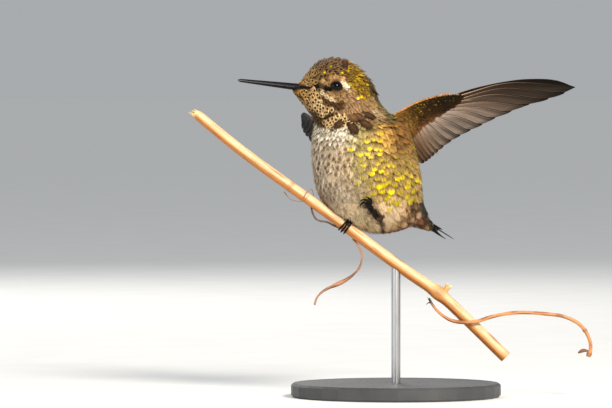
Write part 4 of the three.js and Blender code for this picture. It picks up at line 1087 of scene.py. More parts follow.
# none under the bill
hb = to_head(cand)
keep &= gape(hb) < 0.5
keep &= ~((hb[:, 0] > 10.9) & (np.abs(hb[:, 1]) < 1.0) & (np.abs(hb[:, 2] + 1.22) < 0.85))
idx = np.nonzero(keep)[0]
order = idx[rng.permutation(len(idx))]
kept = thin(cand, cr * 0.80, order.tolist())
root = cand[kept]
rm = markings(root)
rr = cr[kept]
print("contour feathers", len(root), "skin mm2", round(skin_area))

# lengths, widths and lift by region
headw = rm["head"]
length = rr * mix(2.35, 2.5, headw)
half = rr * mix(0.80, 0.66, headw)
depth = coat_depth(root)
rnd = rng.random(len(root))
rnd2 = rng.random(len(root))
rnd3 = rng.random(len(root))
glit = (rnd < rm["spot"]).astype(float) * mix(0.75, 1.0, rnd2)
glit[np.linalg.norm(root - np.array([-6.6, -8.6, 56.8]), axis=1) < 3.0] = 0.0      # none by the left foot
lvl0 = -depth * 0.92
hroot = to_head(root)
proud = 0.15 * (1 - headw) + 0.40 * rm["crown"] * smooth(3.5, 6.0, hroot[:, 2]) * smooth(9.5, 6.0, hroot[:, 0])
proud = proud + 0.55 * (1 - headw) * bump(np.abs(rm["az"]), 118, 24) * bump(root[:, 2], 62, 6)
lvl1 = proud + rng.normal(-0.06, 0.09, len(root)) * mix(0.40, 0.9, headw) + 0.20 * np.abs(rng.normal(0, 1, len(root))) * rm["crown"] * smooth(0.8, 3.5, hroot[:, 2]) * smooth(10.5, 7.5, hroot[:, 0]) + 0.05 * glit * (1 - headw) + 0.08 * glit * headw
angle = rng.normal(0, 0.12, len(root)) + 0.08 * np.sign(rng.random(len(root)) - 0.5)
path, nrm, way = march(root, length, lvl0, lvl1, angle, rise=mix(0.42, 0.60, headw))
# a few gold spots on the crown and behind the eye
at_disc = along(path, np.full(len(path), 0.76))
for g_ in ((3.3, 5.6, 5.1), (5.5, 5.4, 3.6), (0.9, 6.8, 4.1), (-1.0, 6.5, 4.6), (-3.7, 7.4, 2.5), (-1.9, 8.2, 1.2), (-4.1, 7.8, 1.4), (-6.7, 7.2, 1.1), (-5.6, 8.3, -1.9),
           (-4.3, 8.5, -2.3), (-5.4, 7.6, 1.9), (-2.8, 7.9, 1.9)):
    for side in (1, -1):
        d_ = np.linalg.norm(at_disc - head_point(g_[0], side * g_[1], g_[2]), axis=1)
        k_ = d_.argmin()
        glit[k_] = 1.0
        path[k_] = path[k_] + nrm[k_] * np.linspace(0, 0.20, path.shape[1])[:, None]
mark = markings(along(path, np.full(len(path), 0.8)))
# spots on the breast differ, and some feathers have none
plain = (1 - mark["head"]) * mark["breast"] * np.clip(1.2 * rnd3 - 0.66, 0, 1) + (rnd3 > mix(0.85, 1.0, mark["head"]))
plain = np.clip(np.maximum(plain, 0.8 * mark["belly"] * (1 - mark["under"])), 0, 1)
feather_shade = 1 + rng.normal(0, 0.06, len(root)) * mix(1.0, 0.7, mark["breast"])
# under the tail and on the rump's edge some feathers are dark brown
brown = (mark["under"] > 0.3) & (rng.random(len(root)) < 0.16 + 0.34 * smooth(98, 110, np.abs(mark["az"])) + 0.5 * smooth(49.5, 47.5, root[:, 2]))
mark["base"][brown] = mark["base"][brown] * 0.25 + np.array([52.0, 36, 24]) * 0.75
GLITTER = lay(np.tile(np.array([232.0, 206, 12]), (len(root), 1)), mark["back"], [120, 130, 20])
upperg = smooth(60, 70, root[:, 2]) * (1 - headw)
GLITTER = lay(GLITTER, upperg * smooth(0.2, 0.9, rnd3), [176, 158, 60])
gsize = mix(mix(0.66, 1.08, rnd3), mix(0.50, 0.72, rnd2), upperg * 0.9)
gsize = mix(gsize, 1.25, mark["lower"] * smooth(66, 61, root[:, 2]) * smooth(0.1, 0.5, rnd2))
gsize = mix(gsize, 0.9, headw)
GLITTER = lay(GLITTER, mark["gold"], [214, 176, 12])
GLITTER = GLITTER * ((0.72 + 0.34 * rnd2) * mix(1.0, 0.93, mark["lower"]))[:, None]
# the largest spots of the left flank, with their sizes
for x_, y_, z_, s_ in ((-11.8, -11.3, 69.6, 1.0), (-13.2, -11.1, 70.4, 0.9), (-7.0, -10.9, 71.0, 0.9), (-4.7, -10.3, 70.1, 0.9), (-7.6, -10.6, 73.5, 0.9),
                       (-4.7, -9.5, 73.8, 0.8), (-7.8, -10.9, 64.7, 1.15), (-5.3, -10.3, 64.2, 1.0), (-5.6, -9.8, 60.7, 1.35), (-3.0, -8.7, 59.6, 1.3), (-1.0, -7.7, 59.3, 1.2),
                       (2.8, -4.8, 59.5, 1.4), (5.7, -1.0, 61.4, 1.3), (1.6, -6.4, 62.4, 1.15), (-0.7, -8.1, 62.1, 1.2), (-2.4, -7.7, 57.3, 1.1)):
    k_ = np.linalg.norm(at_disc - np.array([x_, y_, z_]), axis=1).argmin()
    glit[k_], gsize[k_], GLITTER[k_] = 1.0, s_ * (0.78 if z_ > 66 else 0.92), (236, 212, 8)
    path[k_] = path[k_] + nrm[k_] * np.linspace(0, 0.14, path.shape[1])[:, None]


def body_look(T, U, K, E):
    """pattern of one contour feather, by region"""
    base, disc = mark["base"][K], mark["disc"][K]
    s = mark["strength"][K] * (1 - 0.85 * plain[K])
    hw, crown, throat = headw[K], mark["crown"][K], mark["throat"][K]
    breast, mid_ = mark["breast"][K], mark["mid"][K]
    # centre and radii of the disc: scales on the crown, spots on the throat,
    # small dark spots on the breast, broader and fainter ones on the flanks
    t0 = mix(0.79, 0.755, hw)
    ear = hw * (1 - crown) * (1 - throat)
    und = mark["under"][K]
    fr_ = smooth(7.2, 9.2, hroot[:, 0][K])
    thf = throat * smooth(4.5, 7.0, hroot[:, 0][K])
    rt = 0.115 + 0.020 * breast + 0.078 * crown + 0.038 * throat + 0.10 * ear + 0.22 * und - 0.058 * fr_ * crown + 0.008 * thf
    ru = 0.40 + 0.03 * breast + 0.45 * crown + 0.22 * throat - 0.12 * ear - 0.02 * und - 0.20 * fr_ * crown + 0.03 * thf
    side = breast * (1 - hw) * bump(mark["az"][K], -30, 22) * smooth(61.5, 64.5, root[:, 2][K]) * smooth(73.5, 71.5, root[:, 2][K])
    rt, ru = rt + 0.035 * side, ru + 0.08 * side
    r = np.sqrt(((E - t0) / rt) ** 2 + (U / ru) ** 2)
    soft = mix(0.42, 0.24, hw)
    w = s * smooth(1 + soft, 1 - soft, r)
    # darker toward the root: painted shade where each feather lies under its neighbours
    col = base * mix(mix(mix(0.66, 0.84, mark["belly"][K]), 0.50, hw), 1.0, smooth(0.25, 0.72, T))[:, None]
    shaft = bump(U, 0, 0.10) * (1 - hw) * smooth(0.3, 0.6, E) * 0.10
    col = col * (1 - shaft)[:, None]
    col = col + (disc - col) * w[:, None]
    # glittering disc
    g0 = np.sqrt(((T - 0.785) / 0.15) ** 2 + (U / 0.66) ** 2)
    g0 = mix(g0, np.sqrt(((T - 0.76) / 0.15) ** 2 + (U / 0.62) ** 2), hw)
    g0 = g0 / gsize[K]
    g = smooth(1.32, 0.68, g0) * glit[K] * mix(mix(1.0, 0.82, smooth(61, 65, root[:, 2][K])), 1.0, hw)
    col = col + (GLITTER[K] - col) * g[:, None]
    return col * feather_shade[K][:, None], g


# single feathers of the adult coming in: the dark ones at the gorget's lower
# corner, one standing on the crown, one on the nape. Head coordinates of the
# root and of the tip, half width, how far the tip stands off, colour
SINGLES = [
    ((-1.3, 7.9, -8.7), (1.5, 6.1, -12.1), 1.05, 0.50, (72, 50, 31)),
    ((-1.6, 7.8, -7.0), (-4.6, 9.6, -9.4), 1.20, 0.34, (112, 80, 52)),
    ((-3.2, 8.3, -6.6), (-6.2, 9.9, -9.0), 0.95, 0.40, (104, 72, 46)),
    ((-4.4, 9.2, -8.2), (-8.4, 11.5, -11.2), 1.12, 0.62, (80, 56, 35)),
    ((-5.6, 8.6, -6.0), (-9.7, 9.7, -8.2), 0.92, 0.58, (72, 50, 32)),
    ((-1.6, 8.0, -8.9), (-4.2, 11.3, -13.5), 1.25, 0.75, (70, 48, 30)),
    ((-7.9, 6.8, 1.0), (-11.9, 4.6, -1.4), 0.52, 0.50, (40, 30, 22)),
    ((1.7, 4.5, 6.7), (0.0, 2.9, 8.1), 0.32, 0.60, (60, 40, 31)),
]


def single(h0, h1, stand, on_head=True):
    a, b = (head_point(*h0), head_point(*h1)) if on_head else (np.array(h0), np.array(h1))
    m = np.linspace(0, 1, 6)
    line_ = a + (b - a) * m[:, None]
    lv = -0.5 + (0.5 + stand) * m ** 0.7
    P = np.stack([F.settle(line_[i:i + 1], lv[i:i + 1])[0] for i in range(6)])
    _, g = F(P)
    n = unit(g)
    w = unit(np.gradient(P, axis=0))
    n = unit(n - w * (n * w).sum(-1, keepdims=True))
    return P[None], n[None], w[None]


region = np.full(len(root), 0)
az_r = turned(root)
region[(headw <= 0.5) & (np.abs(az_r) < 100)] = 1
region[(headw <= 0.5) & (np.abs(az_r) >= 100)] = 2
region[(headw <= 0.5) & (root[:, 2] < 56.5)] = 3
REGIONS = ["head", "breast", "back", "belly"]
SLOTS = ["plumage_head", "plumage_breast", "plumage_breast", "plumage_breast"]
root_uv = skin_map(root)


def select(a, m):
    return {k: v[m] for k, v in a.items()}


coat = {r: Joined() for r in range(4)}
ROWS = (0, 0.56, 0.66, 0.84, 0.92, 1.0)
for r in range(4):
    for lo, hi, cols in ((0, 0.7, 9), (0.7, 1.12, 13), (1.12, 1.55, 17), (1.55, 9, 23)):
        m = (region == r) & (rr >= lo) & (rr < hi)
        if not m.any():
            continue
        ids = np.nonzero(m)[0]
        look = lambda T, U, K, E: body_look(T, U, ids[K], E)
        V, q, t, c, g, U, T, K = vanes(path[m], nrm[m], way[m], half[m], cols, look, jag=0.05 if hi < 1.2 else 0.16,
                                       cup=0.22, lift=0.015 if hi < 1.2 else 0.035, rows=ROWS)
        if r == 0:
            b_ = mark["base"][ids][K] @ [0.3, 0.59, 0.11]
            c = fine_head(c, np.clip(c @ [0.3, 0.59, 0.11] / np.maximum(b_, 8), 0.62, 1.05), V)
        coat[r].add(V, [q, t], lin(c), uv=patch_uv(root_uv[ids], U, T, K), gloss=g)

for h0, h1, hw_, stand, tone in SINGLES:
    P_, N_, W_ = single(h0, h1, stand)
    tone = np.array(tone, float)

    def look(T, U, K, E):
        c = tone * mix(1.0, 0.72, smooth(0.2, 0.9, np.abs(U)))[:, None] * mix(0.80, 1.0, smooth(0.1, 0.5, T))[:, None]
        c = c + (tone * np.array([0.55, 0.52, 0.52]) - c) * (0.8 * smooth(0.62, 0.95, E))[:, None]
        c = c + (tone * 1.35 - c) * (0.5 * bump(U, 0, 0.07) * smooth(0.9, 0.3, T))[:, None]
        return c, 0.25 * smooth(0.4, 0.8, E)

    V, qd, tr, c, g, U, T, K = vanes(P_, N_, W_, np.array([hw_]), 31, look, jag=0.03, cup=0.20, lift=0.012, taper=0.62, blunt=0.36, droop=2.4, rows=(0, 0.3, 0.55, 0.75, 0.9, 1.0))
    ruv = skin_map(P_[:, 0])
    coat[0].add(V, [qd, tr], lin(c), uv=patch_uv(ruv, U, T, K), gloss=g)

# under the tail: larger feathers one over another, pale with dark edges.
# Root, tip, half width, how far the tip stands off, colour, edge colour
for a_, b_, hw_, stand, tone, rimc in (
        ((5.1, -0.4, 57.4), (6.4, 4.4, 53.9), 0.85, 0.35, (96, 70, 46), (30, 23, 17)),
        ((6.3, 2.5, 57.1), (7.4, 7.4, 54.4), 0.75, 0.35, (72, 54, 38), (26, 22, 18)),
        ((5.6, 4.0, 52.9), (7.9, 11.6, 50.3), 1.25, 0.60, (188, 148, 116), (46, 31, 23)),
        ((5.9, 8.2, 50.4), (9.3, 17.2, 48.0), 1.20, 0.50, (128, 76, 42), (38, 24, 17)),
        ((4.4, 5.2, 50.6), (7.6, 12.6, 48.3), 1.15, 0.45, (150, 98, 60), (36, 24, 18)),
        ((4.0, 1.9, 52.0), (5.2, 7.6, 49.3), 1.05, 0.55, (172, 134, 98), (50, 33, 22)),
        ((1.2, 0.9, 50.1), (3.6, 6.6, 47.8), 1.25, 0.60, (190, 152, 112), (44, 28, 18)),
        ((-1.7, -0.2, 49.4), (0.6, 5.2, 47.0), 1.25, 0.60, (196, 160, 120), (50, 32, 21)),
        ((-3.4, -0.5, 49.2), (-1.9, 5.0, 46.9), 1.05, 0.55, (214, 178, 138), (60, 40, 28)),
        ((2.4, -3.4, 53.6), (3.6, 1.8, 50.6), 1.05, 0.40, (200, 164, 122), (104, 72, 46)),
        ((-0.2, -4.6, 52.8), (1.2, 0.4, 49.8), 1.10, 0.40, (238, 206, 166), (150, 112, 78))):
    P_, N_, W_ = single(a_, b_, stand, on_head=False)
    tone, rimc = np.array(tone, float), np.array(rimc, float)

    def look(T, U, K, E):
        c = tone * mix(0.7, 1.0, smooth(0.1, 0.5, T))[:, None] * np.ones((len(T), 1))
        w_ = np.clip(0.95 * smooth(0.66, 0.96, E) + 0.55 * smooth(0.55, 1.0, np.abs(U)) * smooth(0.2, 0.6, E), 0, 1)
        return c + (rimc - c) * w_[:, None], np.zeros(len(T))

    V, qd, tr, c, g, U, T, K = vanes(P_, N_, W_, np.array([hw_]), 31, look, jag=0.12, cup=0.20, lift=0.02, taper=0.6, blunt=0.36, droop=2.2, rows=(0, 0.3, 0.55, 0.75, 0.88, 1.0))
    coat[3].add(V, [qd, tr], lin(c), uv=patch_uv(skin_map(P_[:, 0]), U, T, K), gloss=g)

# one short broad feather standing up from the crown
c0, c1 = head_point(-0.2, 6.0, 5.2), head_point(-0.6, 4.6, 8.6)
_, g = F(c0[None])
up_ = unit(c1 - c0)
P_ = np.stack([c0 - up_ * 0.5 + (c1 - c0 + up_ * 0.5) * m for m in np.linspace(0, 1, 6)])
face_ = unit(np.cross(unit(np.cross(up_, headF * 0.25 + headL)), up_))
N_ = np.broadcast_to(face_, P_.shape)
W_ = np.broadcast_to(up_, P_.shape)


def look(T, U, K, E):
    c = np.tile([70.0, 42, 37], (len(T), 1)) * mix(0.72, 1.0, smooth(0.2, 0.7, T))[:, None]
    c = c + (np.array([50.0, 30, 27]) - c) * (0.7 * smooth(0.75, 1.0, E))[:, None]
    return c * (1 - 0.25 * np.abs(U))[:, None], 0.3 * smooth(0.3, 0.7, E)


V, qd, tr, c, g, U, T, K = vanes(P_[None], N_[None], W_[None], np.array([0.90]), 25, look, jag=0.05, cup=0.10, lift=0.01, taper=0.7, blunt=0.10, droop=3.0)
coat[0].add(V, [qd, tr], lin(c), uv=patch_uv(skin_map(c0[None]), U, T, K), gloss=g)

# lids: the opening is an almond; small feathers lie round it on the ball's skin
LID_W, LID_H = 1.62, 1.21


def eye_frame(side, e):
    _, g = F(e[None] + side * headL * 1.2)
    ax = unit(0.72 * unit(g[0]) + 0.28 * side * headL)
    x = unit(headF - ax * (headF @ ax))
    return ax, x, np.cross(ax, x)


def opening(a):
    return 1 / np.sqrt((np.cos(a) / LID_W) ** 2 + (np.sin(a) / LID_H) ** 2)


for side, e in ((1, EYE_L), (-1, EYE_R)):
    ax, x, y = eye_frame(side, e)
    n_ = 2600
    a_ = rng.random(n_) * 2 * np.pi
    r_ = opening(a_) + 0.10 + (2.25 - opening(a_)) * rng.random(n_)
    flat = e + x * (r_ * np.cos(a_))[:, None] + y * (r_ * np.sin(a_))[:, None]
    p = flat + ax * np.sqrt(np.maximum((EYE_RADIUS + 0.03) ** 2 - np.minimum(r_, 1.80) ** 2, 0))[:, None]
    kk = thin(p, np.full(n_, 0.24), list(range(n_)))
    p = p[kk]
    n_ = len(p)
    ln = rng.uniform(0.50, 0.72, n_)
    P_, N_, W_ = [], [], []
    for k in range(5):
        d_, g = F(p)
        ws = smooth(2.3, 1.7, np.linalg.norm(p - e, axis=1))[:, None]
        n1 = unit(unit(p - e) * ws + unit(g) * (1 - ws))
        w_ = lie(p, n1)
        rad_ = (p - e) - ax * ((p - e) @ ax)[:, None]
        rad_ = unit(rad_)
        w_ = w_ + rad_ * (np.clip(-(w_ * rad_).sum(-1), 0, None) * 1.3 + 0.35)[:, None]
        w_ = unit(w_ - n1 * (w_ * n1).sum(-1, keepdims=True))
        P_.append(p)
        N_.append(n1)
        W_.append(w_)
        q_ = p + w_ * (ln / 4)[:, None]
        t_ = (k + 1) / 4
        qa_ = e + unit(q_ - e) * (EYE_RADIUS + 0.05 + 0.10 * t_)
        qb_ = F.settle(q_, np.full(n_, -0.45 + 0.42 * t_))
        p = np.where((np.linalg.norm(qb_ - e, axis=1) > np.linalg.norm(qa_ - e, axis=1))[:, None], qb_, qa_)
    P_, N_, W_ = np.stack(P_, 1), np.stack(N_, 1), np.stack(W_, 1)
    lm = markings(P_[:, 3])
    rim_ = smooth(0.34, 0.10, np.linalg.norm((P_[:, 2] - e) - ((P_[:, 2] - e) @ ax)[:, None] * ax, axis=1) - 1.55)

    def look(T, U, K, E):
        b = lm["base"][K] * mix(0.6, 1.0, smooth(0.2, 0.7, T))[:, None]
        b = b + (lm["disc"][K] - b) * (lm["strength"][K] * 0.5 * smooth(1.2, 0.8, np.sqrt(((E - 0.75) / 0.14) ** 2 + (U / 0.5) ** 2)))[:, None]
        return b * (1 - 0.35 * rim_[K])[:, None], np.zeros(len(T))

    V, qd, tr, c, g, U, T, K = vanes(P_, N_, W_, np.full(n_, 0.15), 7, look, jag=0.06, cup=0.15, lift=0.01)
    b_ = lm["base"][K] @ [0.3, 0.59, 0.11]
    c = fine_head(c, np.clip(c @ [0.3, 0.59, 0.11] / np.maximum(b_, 8), 0.62, 1.05), V)
    coat[0].add(V, [qd, tr], lin(c), uv=patch_uv(skin_map(P_[:, 0]), U, T, K, 0.002), gloss=g)
    print("lid feathers", n_)

# ---------------------------------------------------------------------- down
def over_spot(p, c):
    """colour c of barbs lying at p over the body's feathers, tinted by the spots below"""
    b = np.nonzero(headw < 0.5)[0]
    D = at_disc[b]
    out = c.copy()
    for s in range(0, len(p), 3000):
        q = p[s:s + 3000]
        d2 = (q ** 2).sum(1)[:, None] + (D ** 2).sum(1)[None] - 2 * q @ D.T
        i = d2.argmin(1)
        d = np.sqrt(np.clip(d2[np.arange(len(q)), i], 0, None))
        k = b[i]
        w = mark["strength"][k] * (1 - 0.85 * plain[k]) * smooth(1.45, 0.6, d / (0.44 * half[k]))
        g = glit[k] * smooth(1.25, 0.65, d / (0.66 * half[k] * gsize[k]))
        o = c[s:s + 3000]
        o = o + (mark["disc"][k] - o) * (0.9 * w)[:, None]
        out[s:s + 3000] = o + (GLITTER[k] - o) * (0.8 * g)[:, None]
    return out


def down(count, lens, wide, level, where, spreadang=0.22, shade=0.16, dark=0.0, spots=False, fine=False):
    pts, _ = sample_skin(count)
    m = markings(pts)
    w = where(pts, m)
    k = rng.random(count) < w
    for e in (EYE_L, EYE_R):
        k &= np.linalg.norm(pts - e, axis=1) > EYE_RADIUS + 0.05
    hp = to_head(pts)
    k &= ~((hp[:, 0] > 10.5) & (np.abs(hp[:, 1]) < 1.1) & (np.abs(hp[:, 2] + 1.22) < 1.0))
    pts = pts[k]
    m = select(m, k)
    n = len(pts)
    d = coat_depth(pts)
    sc = mix(1.0, 0.42, m["head"]) * mix(1.0, 0.5, smooth(6, 1, np.linalg.norm(pts - head_point(12.5, 0, -1.6), axis=1)))
    L = mix(lens[0], lens[1], rng.random(n)) * sc
    W = wide * mix(0.7, 1.3, rng.random(n)) * mix(1.0, 0.7, m["head"])
    l1 = level[0] + (level[1] - level[0]) * rng.random(n)
    l1 = np.where(l1 > 0, l1 * mix(1.0, 0.45, m["head"]), l1)
    pa, nn, ww = march(pts, L, -d * 0.85, l1, rng.normal(0, spreadang, n), steps=2)
    side = unit(np.cross(nn, ww))
    v = np.stack([pa[:, 0] - side[:, 0] * W[:, None], pa[:, 0] + side[:, 0] * W[:, None],
                  pa[:, 1] - side[:, 1] * (W * 0.85)[:, None], pa[:, 1] + side[:, 1] * (W * 0.85)[:, None], pa[:, 2]], 1)
    o = np.arange(n)[:, None] * 5
    q = o + np.array([0, 1, 3, 2])
    t = o + np.array([2, 3, 4])
    mt = markings(pa[:, 1])
    c = mt["base"] + (mt["disc"] - mt["base"]) * (mt["strength"] * (0.10 + 0.5 * rng.random(n)) * 0.40)[:, None]
    c = c * (1 + shade * rng.normal(0, 1, n) - dark)[:, None] * mix(1.0, mix(0.40, 1.16, smooth(0.28, 0.60, value_noise(pts * np.array([1.0, 1.0, 0.30]), 0.60 if fine else 0.95, 21))), m["belly"] * (1 - 0.55 * m["tuft"]))[:, None]
    cc = np.repeat(np.clip(c, 0, 255)[:, None], 5, 1)
    if spots:
        for at_, ends in ((0, (0, 1)), (1, (2, 3)), (2, (4,))):
            cc[:, ends] = over_spot(pa[:, at_], cc[:, ends[0]])[:, None]
    # barbs darker toward the root: painted shade under the coat
    cc = cc * np.array([0.72, 0.72, 0.97, 0.97, 1.0])[None, :, None] ** (0.6 if spots else 1.0)
    uvr = skin_map(pts)
    uu = uvr[:, None] + 0.003 * np.array([[-0.5, -0.5], [0.5, -0.5], [-0.5, 0.1], [0.5, 0.1], [0, 0.5]])[None]
    return pts, m, v.reshape(-1, 3), q, t, lin(np.clip(cc, 0, 255).reshape(-1, 3)), uu.reshape(-1, 2)


def add_down(parts):
    pts, m, v, q, t, c, uv = parts
    reg = np.full(len(pts), 0)
    a = np.abs(turned(pts))
    reg[(m["head"] <= 0.5) & (a < 100)] = 1
    reg[(m["head"] <= 0.5) & (a >= 100)] = 2
    reg[(m["head"] <= 0.5) & (pts[:, 2] < 56.5)] = 3
    for r in range(4):
        k = np.nonzero(reg == r)[0]
        if not len(k):
            continue
        vi = (k[:, None] * 5 + np.arange(5)).ravel()
        o = np.arange(len(k))[:, None] * 5
        coat[r].add(v[vi], [o + np.array([0, 1, 3, 2]), o + np.array([2, 3, 4])], c[vi], uv=uv[vi], gloss=np.zeros(len(vi)))


add_down(down(40000, (1.4, 2.4), 0.045, (-0.75, -0.05), lambda p, m: mix(0.6, 0.20, m["head"]) * (1 - m["throat"]) * (1 - 0.6 * m["back"]) * (1 - m["crown"]) * (1 - 0.5 * m["flank"]), shade=0.10, spreadang=0.14))
add_down(down(34000, (2.2, 4.2), 0.04, (0.0, 0.55), lambda p, m: np.clip(m["belly"] + m["tuft"] + m["breast"] * mix(0.16, 0.42, smooth(70, 58, p[:, 2])) + m["flank"] * 0.06, 0, 1) * (1 - m["head"]), spreadang=0.20, shade=0.10))
# short barbs that soften the edges of the body's spots, and long loose ones low down
add_down(down(46000, (0.9, 1.8), 0.040, (-0.02, 0.24), lambda p, m: np.clip(m["breast"] + 0.9 * m["flank"] + 0.4 * m["back"], 0, 1) * (1 - m["head"]), spreadang=0.22, shade=0.10, spots=True))
add_down(down(80000, (2.6, 4.8), 0.050, (0.05, 0.75), lambda p, m: np.clip(m["belly"] - 0.4 * m["under"], 0, 1) * (1 - m["head"]), spreadang=0.08, shade=0.12, fine=True))
# small feathers over the top of the left shank
n_ = 300
c0 = F.settle(np.array([[-4.3, -5.0, 50.7]]), np.array([0.0]))[0]
_, g = F(c0[None])
out_ = unit(g[0])
d_ = np.array([-0.70, 0.0, 0.72])
d_ = unit(d_ - out_ * (d_ @ out_))
e_ = np.cross(out_, d_)
ro = c0 + d_ * rng.uniform(-1.4, 0.2, n_)[:, None] + e_ * rng.normal(0, 0.36, n_)[:, None]
L = rng.uniform(0.9, 1.6, n_)
aim_ = d_ + e_ * rng.normal(0, 0.18, n_)[:, None]
pa = np.stack([F.settle(ro, np.full(n_, -0.5)), F.settle(ro + aim_ * (L * 0.5)[:, None], rng.uniform(0.45, 1.05, n_)), F.settle(ro + aim_ * L[:, None], rng.uniform(0.50, 1.15, n_))], 1)
W = e_ * rng.uniform(0.05, 0.08, n_)[:, None]
v = np.stack([pa[:, 0] - W, pa[:, 0] + W, pa[:, 1] - W * 0.85, pa[:, 1] + W * 0.85, pa[:, 2]], 1)
tone = lay(np.tile([80.0, 56, 38], (n_, 1)), (rng.random(n_) < 0.25) * 0.8, [168, 132, 92]) * rng.uniform(0.85, 1.12, n_)[:, None]
cc = np.repeat(tone[:, None], 5, 1) * np.array([0.6, 0.6, 0.9, 0.9, 1.0])[None, :, None]
uvr = skin_map(ro)
uu = uvr[:, None] + 0.003 * np.array([[-0.5, -0.5], [0.5, -0.5], [-0.5, 0.1], [0.5, 0.1], [0, 0.5]])[None]
o = np.arange(n_)[:, None] * 5
coat[3].add(v.reshape(-1, 3), [o + np.array([0, 1, 3, 2]), o + np.array([2, 3, 4])], lin(np.clip(cc, 0, 255).reshape(-1, 3)), uv=uu.reshape(-1, 2), gloss=np.zeros(5 * n_))
for r in range(4):
    print("coat", REGIONS[r], coat[r].triangles())
# ------------------------------------------------------ making skin and coat
def seam_uv(uvv, faces):
    """per-corner map with faces that cross the back seam pulled to one side"""
    out = []
    for f in faces:
        c = uvv[f].copy()
        wide = (c[..., 0].max(1) - c[..., 0].min(1)) > 0.5
        w = c[wide]
        w[..., 0] = np.where(w[..., 0] < 0.5, w[..., 0] + 1.0, w[..., 0])
        w[..., 0] = 0.992 + np.clip(w[..., 0] - 0.992, 0, 0.008)
        w[..., 0] = np.where(w[..., 0] >= 0.999, 0.999 - 0.0005 * (w[..., 1] * 997 % 1), w[..., 0])
        c[wide] = w
        out.append(c.reshape(-1, 2))
    return out


skin_tint = skin_mark["base"] * 0.62 + (skin_mark["disc"] * 0.62 - skin_mark["base"] * 0.62) * (skin_mark["strength"] * 0.45)[:, None]
skin_tint = skin_tint * (0.92 + 0.16 * value_noise(sv, 1.2, 3))[:, None]

# lids: skin over the ball round an almond opening, with a rounded rim, joined
# to the skin mesh
lid_v, lid_f, lid_c, off = [], [], [], len(sv)
for side, e in ((1, EYE_L), (-1, EYE_R)):
    ax, x, y = eye_frame(side, e)
    na = 64
    a = np.linspace(0, 2 * np.pi, na, endpoint=False)
    r0 = opening(a)
    rings_ = []

    def on_ball(r, h):
        rr_ = np.minimum(r, 1.82)
        return e + x * (r * np.cos(a))[:, None] + y * (r * np.sin(a))[:, None] + ax * (np.sqrt((EYE_RADIUS + h) ** 2 - rr_ ** 2))[:, None]

    # outward over the top, then back under it
    rings_ += [on_ball(r0 - 0.01, 0.02), on_ball(r0, 0.085), on_ball(r0 + 0.06, 0.11 + 0.01 * np.sin(a * 23)), on_ball(r0 + 0.15, 0.075), on_ball(r0 + 0.28, 0.055)]
    rings_ += [on_ball(mix(r0 + 0.28, 2.0, 0.5), 0.05), on_ball(np.full(na, 2.0), 0.03)]
    out_ = e + x * (2.55 * np.cos(a))[:, None] + y * (2.55 * np.sin(a))[:, None] + ax * 0.9
    out_ = F.settle(out_, -coat_depth(out_) * 0.95)
    rings_ += [0.5 * (rings_[-1] + out_), out_, out_ - ax * 0.25, on_ball(np.full(na, 2.0), -0.12), on_ball(r0 + 0.15, -0.03)]
    v = np.stack(rings_, 1)
    nb = v.shape[1]
    i = np.arange(na)[:, None] * nb
    i2 = (np.arange(na)[:, None] + 1) % na * nb
    j = np.arange(nb)[None]
    j2 = (j + 1) % nb
    q = np.stack([i + j, i2 + j, i2 + j2, i + j2], -1).reshape(-1, 4)
    vv = v.reshape(-1, 3)
    top = (np.arange(na)[:, None] * nb + np.arange(4)[None]).ravel()
    k_ = np.isin(q[:, 0], top)
    nr = np.einsum("ij,ij->i", np.cross(vv[q[k_, 1]] - vv[q[k_, 0]], vv[q[k_, 3]] - vv[q[k_, 0]]), vv[q[k_]].mean(1) - e).sum()
    if nr < 0:
        q = q[:, ::-1]
    lid_v.append(vv)
    lid_f.append(q + off)
    off += len(vv)
    lm_ = markings(vv)
    ratio_ = np.full(len(vv), 0.62)
    tone = fine_head(lm_["base"] * 0.62, ratio_, vv)
    rim_ = np.array([1, 1, 0.95, 0.55, 0.2] + [0.0] * (nb - 5))
    tone = lay(tone, np.tile(rim_, na), [40, 28, 20])
    lid_c.append(tone * (0.9 + 0.2 * rng.random((len(vv), 1))))
all_v = np.concatenate([sv] + lid_v)
all_f = np.concatenate([sq] + lid_f)
all_c = np.concatenate([skin_tint] + lid_c)
uvs = skin_map(all_v)
skin = make("skin", all_v, [all_f], SKIN, "plumage_breast", colors=lin(all_c), floats={"gloss": np.zeros(len(all_v))}, uv=seam_uv(spread(uvs), [all_f]))
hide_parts("head", "neck", "trunk", "rump", "leg_left_thigh", "leg_right_thigh")

for r in range(4):
    uv_all = spread(np.concatenate(coat[r].uv))
    coat[r].uv = [uv_all]
    coat[r].make("coat_" + REGIONS[r], COAT, SLOTS[r])

